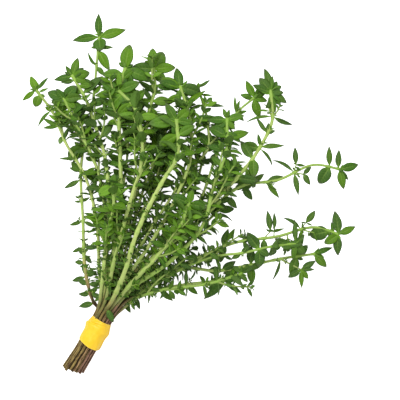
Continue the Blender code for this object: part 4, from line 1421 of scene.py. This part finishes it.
def stem_material(settings):
    """Thyme stem: brown and woody at its foot, pale green above, streaked along its length, with painted
    shade in the bunch.
    """
    material, tree, shader = new_material("thyme_stem", 0.5, 0.15)
    around, length, nearness = attribute_parts(tree, "stem_place")
    wood, tint, share = attribute_parts(tree, "stem_tone")
    painted_shade, _, _ = attribute_parts(tree, "stem_shelter")
    stretched = tree.nodes.new("ShaderNodeCombineXYZ")
    for axis, (value, scale) in enumerate(((around, 9.0), (length, 1.4), (tint, 40.0))):
        tree.links.new(times(tree, value, scale), stretched.inputs[axis])
    streaks = add_node(tree, "ShaderNodeTexNoise", Scale=1.6, Detail=5.0, Roughness=0.65)
    tree.links.new(stretched.outputs[0], streaks.inputs["Vector"])
    streaks = streaks.outputs["Fac"]

    green = mix_node(tree, tint, settings.stem_green, settings.stem_yellow)
    green = mix_node(tree, range_node(tree, share, 0.7, 1.0, 0.0, 0.4), green, settings.leaf_green)
    green = mix_node(tree, times(tree, nearness, 0.35), green, settings.young_green)
    light = mix_node(tree, range_node(tree, tint, 0.3, 0.42), settings.bark_purple, settings.bark_tan)
    light = mix_node(tree, range_node(tree, tint, 0.68, 0.76), light, settings.bark_olive)
    bark = mix_node(tree, range_node(tree, streaks, 0.4, 0.6), settings.bark_dark, light)
    swing = times(tree, math_node(tree, "SUBTRACT", streaks, 0.5), 1.1)
    edge = math_node(tree, "ADD", wood, swing)
    color = mix_node(tree, range_node(tree, edge, 0.2, 0.6), green, bark)
    color = mix_node(tree, range_node(tree, share, -0.2, -0.8), color, settings.pith)

    mottle = place_group(
        tree, mottle_group(), color=color, patch_scale=260.0, speck_scale=1800.0, strength=0.2
    )
    gain = math_node(tree, "ADD", times(tree, streaks, 0.5), 0.75)
    # Painted shade: stems are darker towards the tie and the cut end, fading out 90 mm from the cut end
    gain = times(tree, gain, range_node(tree, length, 2.0, 9.0, 0.74, 1.0))
    # Painted shade where the stem faces into the bunch and just above the tie, and a little painted light on
    # its open faces
    gain = times(tree, gain, range_node(tree, painted_shade, 0.0, 0.85, 1.15, 0.3))
    tree.links.new(scaled(tree, mottle.outputs["Color"], gain), shader.inputs["Base Color"])
    tree.links.new(range_node(tree, edge, 0.2, 0.6, 0.45, 0.75), shader.inputs["Roughness"])
    add_bump(tree, shader, streaks, 0.6, 0.00015)
    return material


def tape_material(settings):
    """Yellow tape: soft plastic, a little paler at its edges, with fine wrinkles round it and painted shade
    in their hollows.
    """
    material, tree, shader = new_material("yellow_tape", 0.42, 0.4)
    across, around, _ = attribute_parts(tree, "tape_place")
    place = tree.nodes.new("ShaderNodeCombineXYZ")
    tree.links.new(across, place.inputs[0])
    tree.links.new(times(tree, around, 6.0), place.inputs[1])
    wrinkles = add_node(tree, "ShaderNodeTexNoise", Scale=2.2, Detail=6.0, Roughness=0.55)
    tree.links.new(place.outputs[0], wrinkles.inputs["Vector"])
    wrinkles = wrinkles.outputs["Fac"]
    # Painted shade: a darker yellow where the wrinkles' bump is low
    color = mix_node(tree, range_node(tree, wrinkles, 0.35, 0.7), settings.tape_hollow_shade, settings.tape_yellow)
    rim = range_node(tree, math_node(tree, "ABSOLUTE", across), 0.93, 0.99)
    color = mix_node(tree, times(tree, rim, 0.5), color, settings.tape_pale)
    tree.links.new(color, shader.inputs["Base Color"])
    tree.links.new(range_node(tree, wrinkles, 0.3, 0.7, 0.36, 0.5), shader.inputs["Roughness"])
    add_bump(tree, shader, wrinkles, 0.55, 0.0005)
    return material


# Settings


def color_property(name, description, default):
    """A setting that holds a colour."""
    return FloatVectorProperty(
        name=name, description=description, default=default, subtype="COLOR", min=0.0, max=1.0
    )


class ThymeSprigSettings(bpy.types.PropertyGroup):
    """Colours of the sprigs"""

    young_green: color_property("Young Green", "Colour of the youngest leaves", (0.165, 0.35, 0.024))
    lime_green: color_property("Lime Green", "Brighter colour of young leaves", (0.205, 0.4, 0.04))
    leaf_green: color_property("Leaf Green", "Colour of grown leaves", (0.088, 0.196, 0.008))
    deep_green: color_property("Deep Green", "Darker colour of grown leaves", (0.041, 0.115, 0.009))
    old_green: color_property("Old Green", "Duller colour of the oldest leaves", (0.046, 0.1, 0.018))
    vein_green: color_property("Vein Green", "Colour of the midrib and veins", (0.3, 0.45, 0.09))
    point_grey: color_property("Point Grey", "Dull colour of the leaves' points", (0.075, 0.085, 0.05))
    underside_green: color_property("Underside Green", "Colour under the leaves", (0.13, 0.24, 0.055))
    stem_green: color_property("Stem Green", "Colour of green stems", (0.26, 0.385, 0.082))
    stem_yellow: color_property("Stem Yellow", "Yellower colour of green stems", (0.39, 0.475, 0.145))
    bark_dark: color_property("Dark Bark", "Dark streaks of the woody foot", (0.075, 0.035, 0.02))
    bark_tan: color_property("Tan Bark", "Light streaks of the tan feet", (0.5, 0.33, 0.15))
    bark_purple: color_property("Purple Bark", "Light streaks of the purplish feet", (0.44, 0.25, 0.16))
    bark_olive: color_property("Olive Bark", "Light streaks of the greener feet", (0.42, 0.31, 0.1))
    pith: color_property("Pith", "Colour of the cut faces", (0.36, 0.27, 0.15))


class ThymeTieSettings(bpy.types.PropertyGroup):
    """Form and colours of the tie"""

    turns: FloatProperty(
        name="Turns",
        description="Turns of tape round the stems",
        default=3.35,
        min=1.0,
        max=6.0,
    )
    fold_height: FloatProperty(
        name="Fold Height",
        description="Height of the tape's soft folds",
        default=0.6 * METRES_PER_MM,
        unit="LENGTH",
    )
    tape_yellow: color_property("Tape Yellow", "Colour of the tape", (0.92, 0.58, 0.024))
    # Painted shade for the hollows of the wrinkles
    tape_hollow_shade: color_property("Deep Yellow", "Colour of the tape's hollows", (0.84, 0.53, 0.012))
    tape_pale: color_property("Pale Yellow", "Colour of the tape's edges", (0.98, 0.7, 0.12))


class ThymeStageSettings(bpy.types.PropertyGroup):
    """Floor, lights and camera"""

    floor_color: color_property("Floor", "Colour of the floor", (0.93, 0.93, 0.93))
    floor_glow: FloatProperty(
        name="Floor Glow",
        description="How far shadows on the floor are lit out",
        default=0.9,
        subtype="FACTOR",
        min=0.0,
        max=2.0,
    )
    key_power: FloatProperty(
        name="Key Light",
        description="Power of the main light",
        default=7.8,
        unit="POWER",
    )
    world_strength: FloatProperty(
        name="Sky",
        description="Strength of the light from all round",
        default=0.76,
        subtype="FACTOR",
        min=0.0,
        max=2.0,
    )
    lean: FloatProperty(
        name="Lean",
        description="How far the camera is turned, so that the bunch leans to the right",
        default=math.radians(29),
        subtype="ANGLE",
    )
    focal_length: FloatProperty(
        name="Focal Length",
        description="Lens of the camera",
        default=85.0,
        unit="CAMERA",
    )
    camera_width: FloatProperty(
        name="Camera Width",
        description="Width of the surface that the camera sees",
        default=204.0 * METRES_PER_MM,
        unit="LENGTH",
    )


# Stage


FLOOR_HALF_WIDTH = 3000.0
KEY_SIZE = 0.7
KEY_PLACE, KEY_TARGET = Vector((-0.35, 0.35, 0.9)), Vector((0.0, 0.07, 0.0))
CAMERA_CENTRE = Vector((13.9, 83.5, 0.0)) * METRES_PER_MM
SENSOR_WIDTH = 36.0


def make_floor(settings):
    """A wide pale surface under the bunch."""
    half = FLOOR_HALF_WIDTH
    corners = [(-half, -half, 0.0), (half, -half, 0.0), (half, half, 0.0), (-half, half, 0.0)]
    material, tree, shader = new_material("pale_floor", 0.8, 0.2)
    shader.inputs["Base Color"].default_value = (*settings.floor_color, 1.0)
    shader.inputs["Emission Color"].default_value = (1.0, 1.0, 1.0, 1.0)
    seen = tree.nodes.new("ShaderNodeLightPath").outputs["Is Camera Ray"]
    tree.links.new(times(tree, seen, settings.floor_glow), shader.inputs["Emission Strength"])
    floor = new_mesh_object("floor", corners, [(0, 1, 2, 3)], {}, material)


def make_lights(settings):
    """A large soft light above and to the left, and even light from all round."""
    world = bpy.data.worlds.new("studio")
    world.use_nodes = True
    background = world.node_tree.nodes["Background"]
    background.inputs["Color"].default_value = (1.0, 1.0, 1.0, 1.0)
    seen = world.node_tree.nodes.new("ShaderNodeLightPath").outputs["Is Camera Ray"]
    strength = range_node(world.node_tree, seen, 0.0, 1.0, settings.world_strength, 1.0)
    world.node_tree.links.new(strength, background.inputs["Strength"])
    bpy.context.scene.world = world
    data = bpy.data.lights.new("key", "AREA")
    data.shape = "DISK"
    data.size = KEY_SIZE
    data.energy = settings.key_power
    light = bpy.data.objects.new("key", data)
    light.location = KEY_PLACE
    light.rotation_euler = (KEY_TARGET - KEY_PLACE).to_track_quat("-Z", "Y").to_euler()
    bpy.context.scene.collection.objects.link(light)


def make_camera(settings):
    """A camera straight above, turned so that the bunch leans to the right."""
    data = bpy.data.cameras.new("camera")
    data.lens = settings.focal_length
    data.sensor_width = SENSOR_WIDTH
    camera = bpy.data.objects.new("camera", data)
    height = settings.camera_width * data.lens / data.sensor_width
    camera.location = CAMERA_CENTRE + UP * height
    camera.rotation_euler = (0.0, 0.0, settings.lean)
    bpy.context.scene.collection.objects.link(camera)
    bpy.context.scene.camera = camera
    bpy.context.scene.view_settings.view_transform = "Standard"


# Operators


class THYME_OT_sprigs(bpy.types.Operator):
    """Make every sprig: its stem with side shoots, and its leaves"""

    bl_idname = "thyme.sprigs"
    bl_label = "Make Sprigs"

    def execute(self, context):
        settings = context.scene.thyme_sprigs
        leaf = leaf_material(settings)
        stem = stem_material(settings)
        for index, points in enumerate(stem_courses()):
            plan = plan_sprig(index, SPRIGS[index], points)
            node = f"sprig_{index + 1:02d}"
            made = (
                make_stems(f"{node}_stem", plan.tubes, stem),
                make_leaves(f"{node}_leaves", plan.leaves, leaf),
            )
            for piece in made:
                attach(piece, "root")
                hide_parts(node)
        return {"FINISHED"}


class THYME_OT_tie(bpy.types.Operator):
    """Make the yellow tape wound round the stems"""

    bl_idname = "thyme.tie"
    bl_label = "Make Tie"

    def execute(self, context):
        settings = context.scene.thyme_tie
        piece = make_tie(tape_material(settings), settings)
        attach(piece, "root")
        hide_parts("tie_band")
        return {"FINISHED"}


class THYME_OT_stage(bpy.types.Operator):
    """Make the pale floor, the soft lights and the camera"""

    bl_idname = "thyme.stage"
    bl_label = "Make Stage"

    def execute(self, context):
        settings = context.scene.thyme_stage
        make_floor(settings)
        make_lights(settings)
        make_camera(settings)
        return {"FINISHED"}


# Panel and registration


class THYME_PT_panel(bpy.types.Panel):
    """Lists the steps that make the bunch"""

    bl_label = "Thyme Bundle"
    bl_idname = "THYME_PT_panel"
    bl_space_type = "VIEW_3D"
    bl_region_type = "UI"
    bl_category = "Thyme"

    def draw(self, context):
        for operator in (THYME_OT_sprigs, THYME_OT_tie, THYME_OT_stage):
            self.layout.operator(operator.bl_idname)
        for group in ("thyme_sprigs", "thyme_tie", "thyme_stage"):
            settings = getattr(context.scene, group)
            box = self.layout.box()
            for name in settings.__annotations__:
                box.prop(settings, name)


CLASSES = (
    ThymeSprigSettings,
    ThymeTieSettings,
    ThymeStageSettings,
    THYME_OT_sprigs,
    THYME_OT_tie,
    THYME_OT_stage,
    THYME_PT_panel,
)


def register():
    for cls in CLASSES:
        bpy.utils.register_class(cls)
    bpy.types.Scene.thyme_sprigs = PointerProperty(type=ThymeSprigSettings)
    bpy.types.Scene.thyme_tie = PointerProperty(type=ThymeTieSettings)
    bpy.types.Scene.thyme_stage = PointerProperty(type=ThymeStageSettings)


def unregister():
    del bpy.types.Scene.thyme_stage
    del bpy.types.Scene.thyme_tie
    del bpy.types.Scene.thyme_sprigs
    for cls in reversed(CLASSES):
        bpy.utils.unregister_class(cls)


def main():
    register()
    bpy.ops.thyme.sprigs()
    bpy.ops.thyme.tie()
    bpy.ops.thyme.stage()


if __name__ == "__main__":
    main()
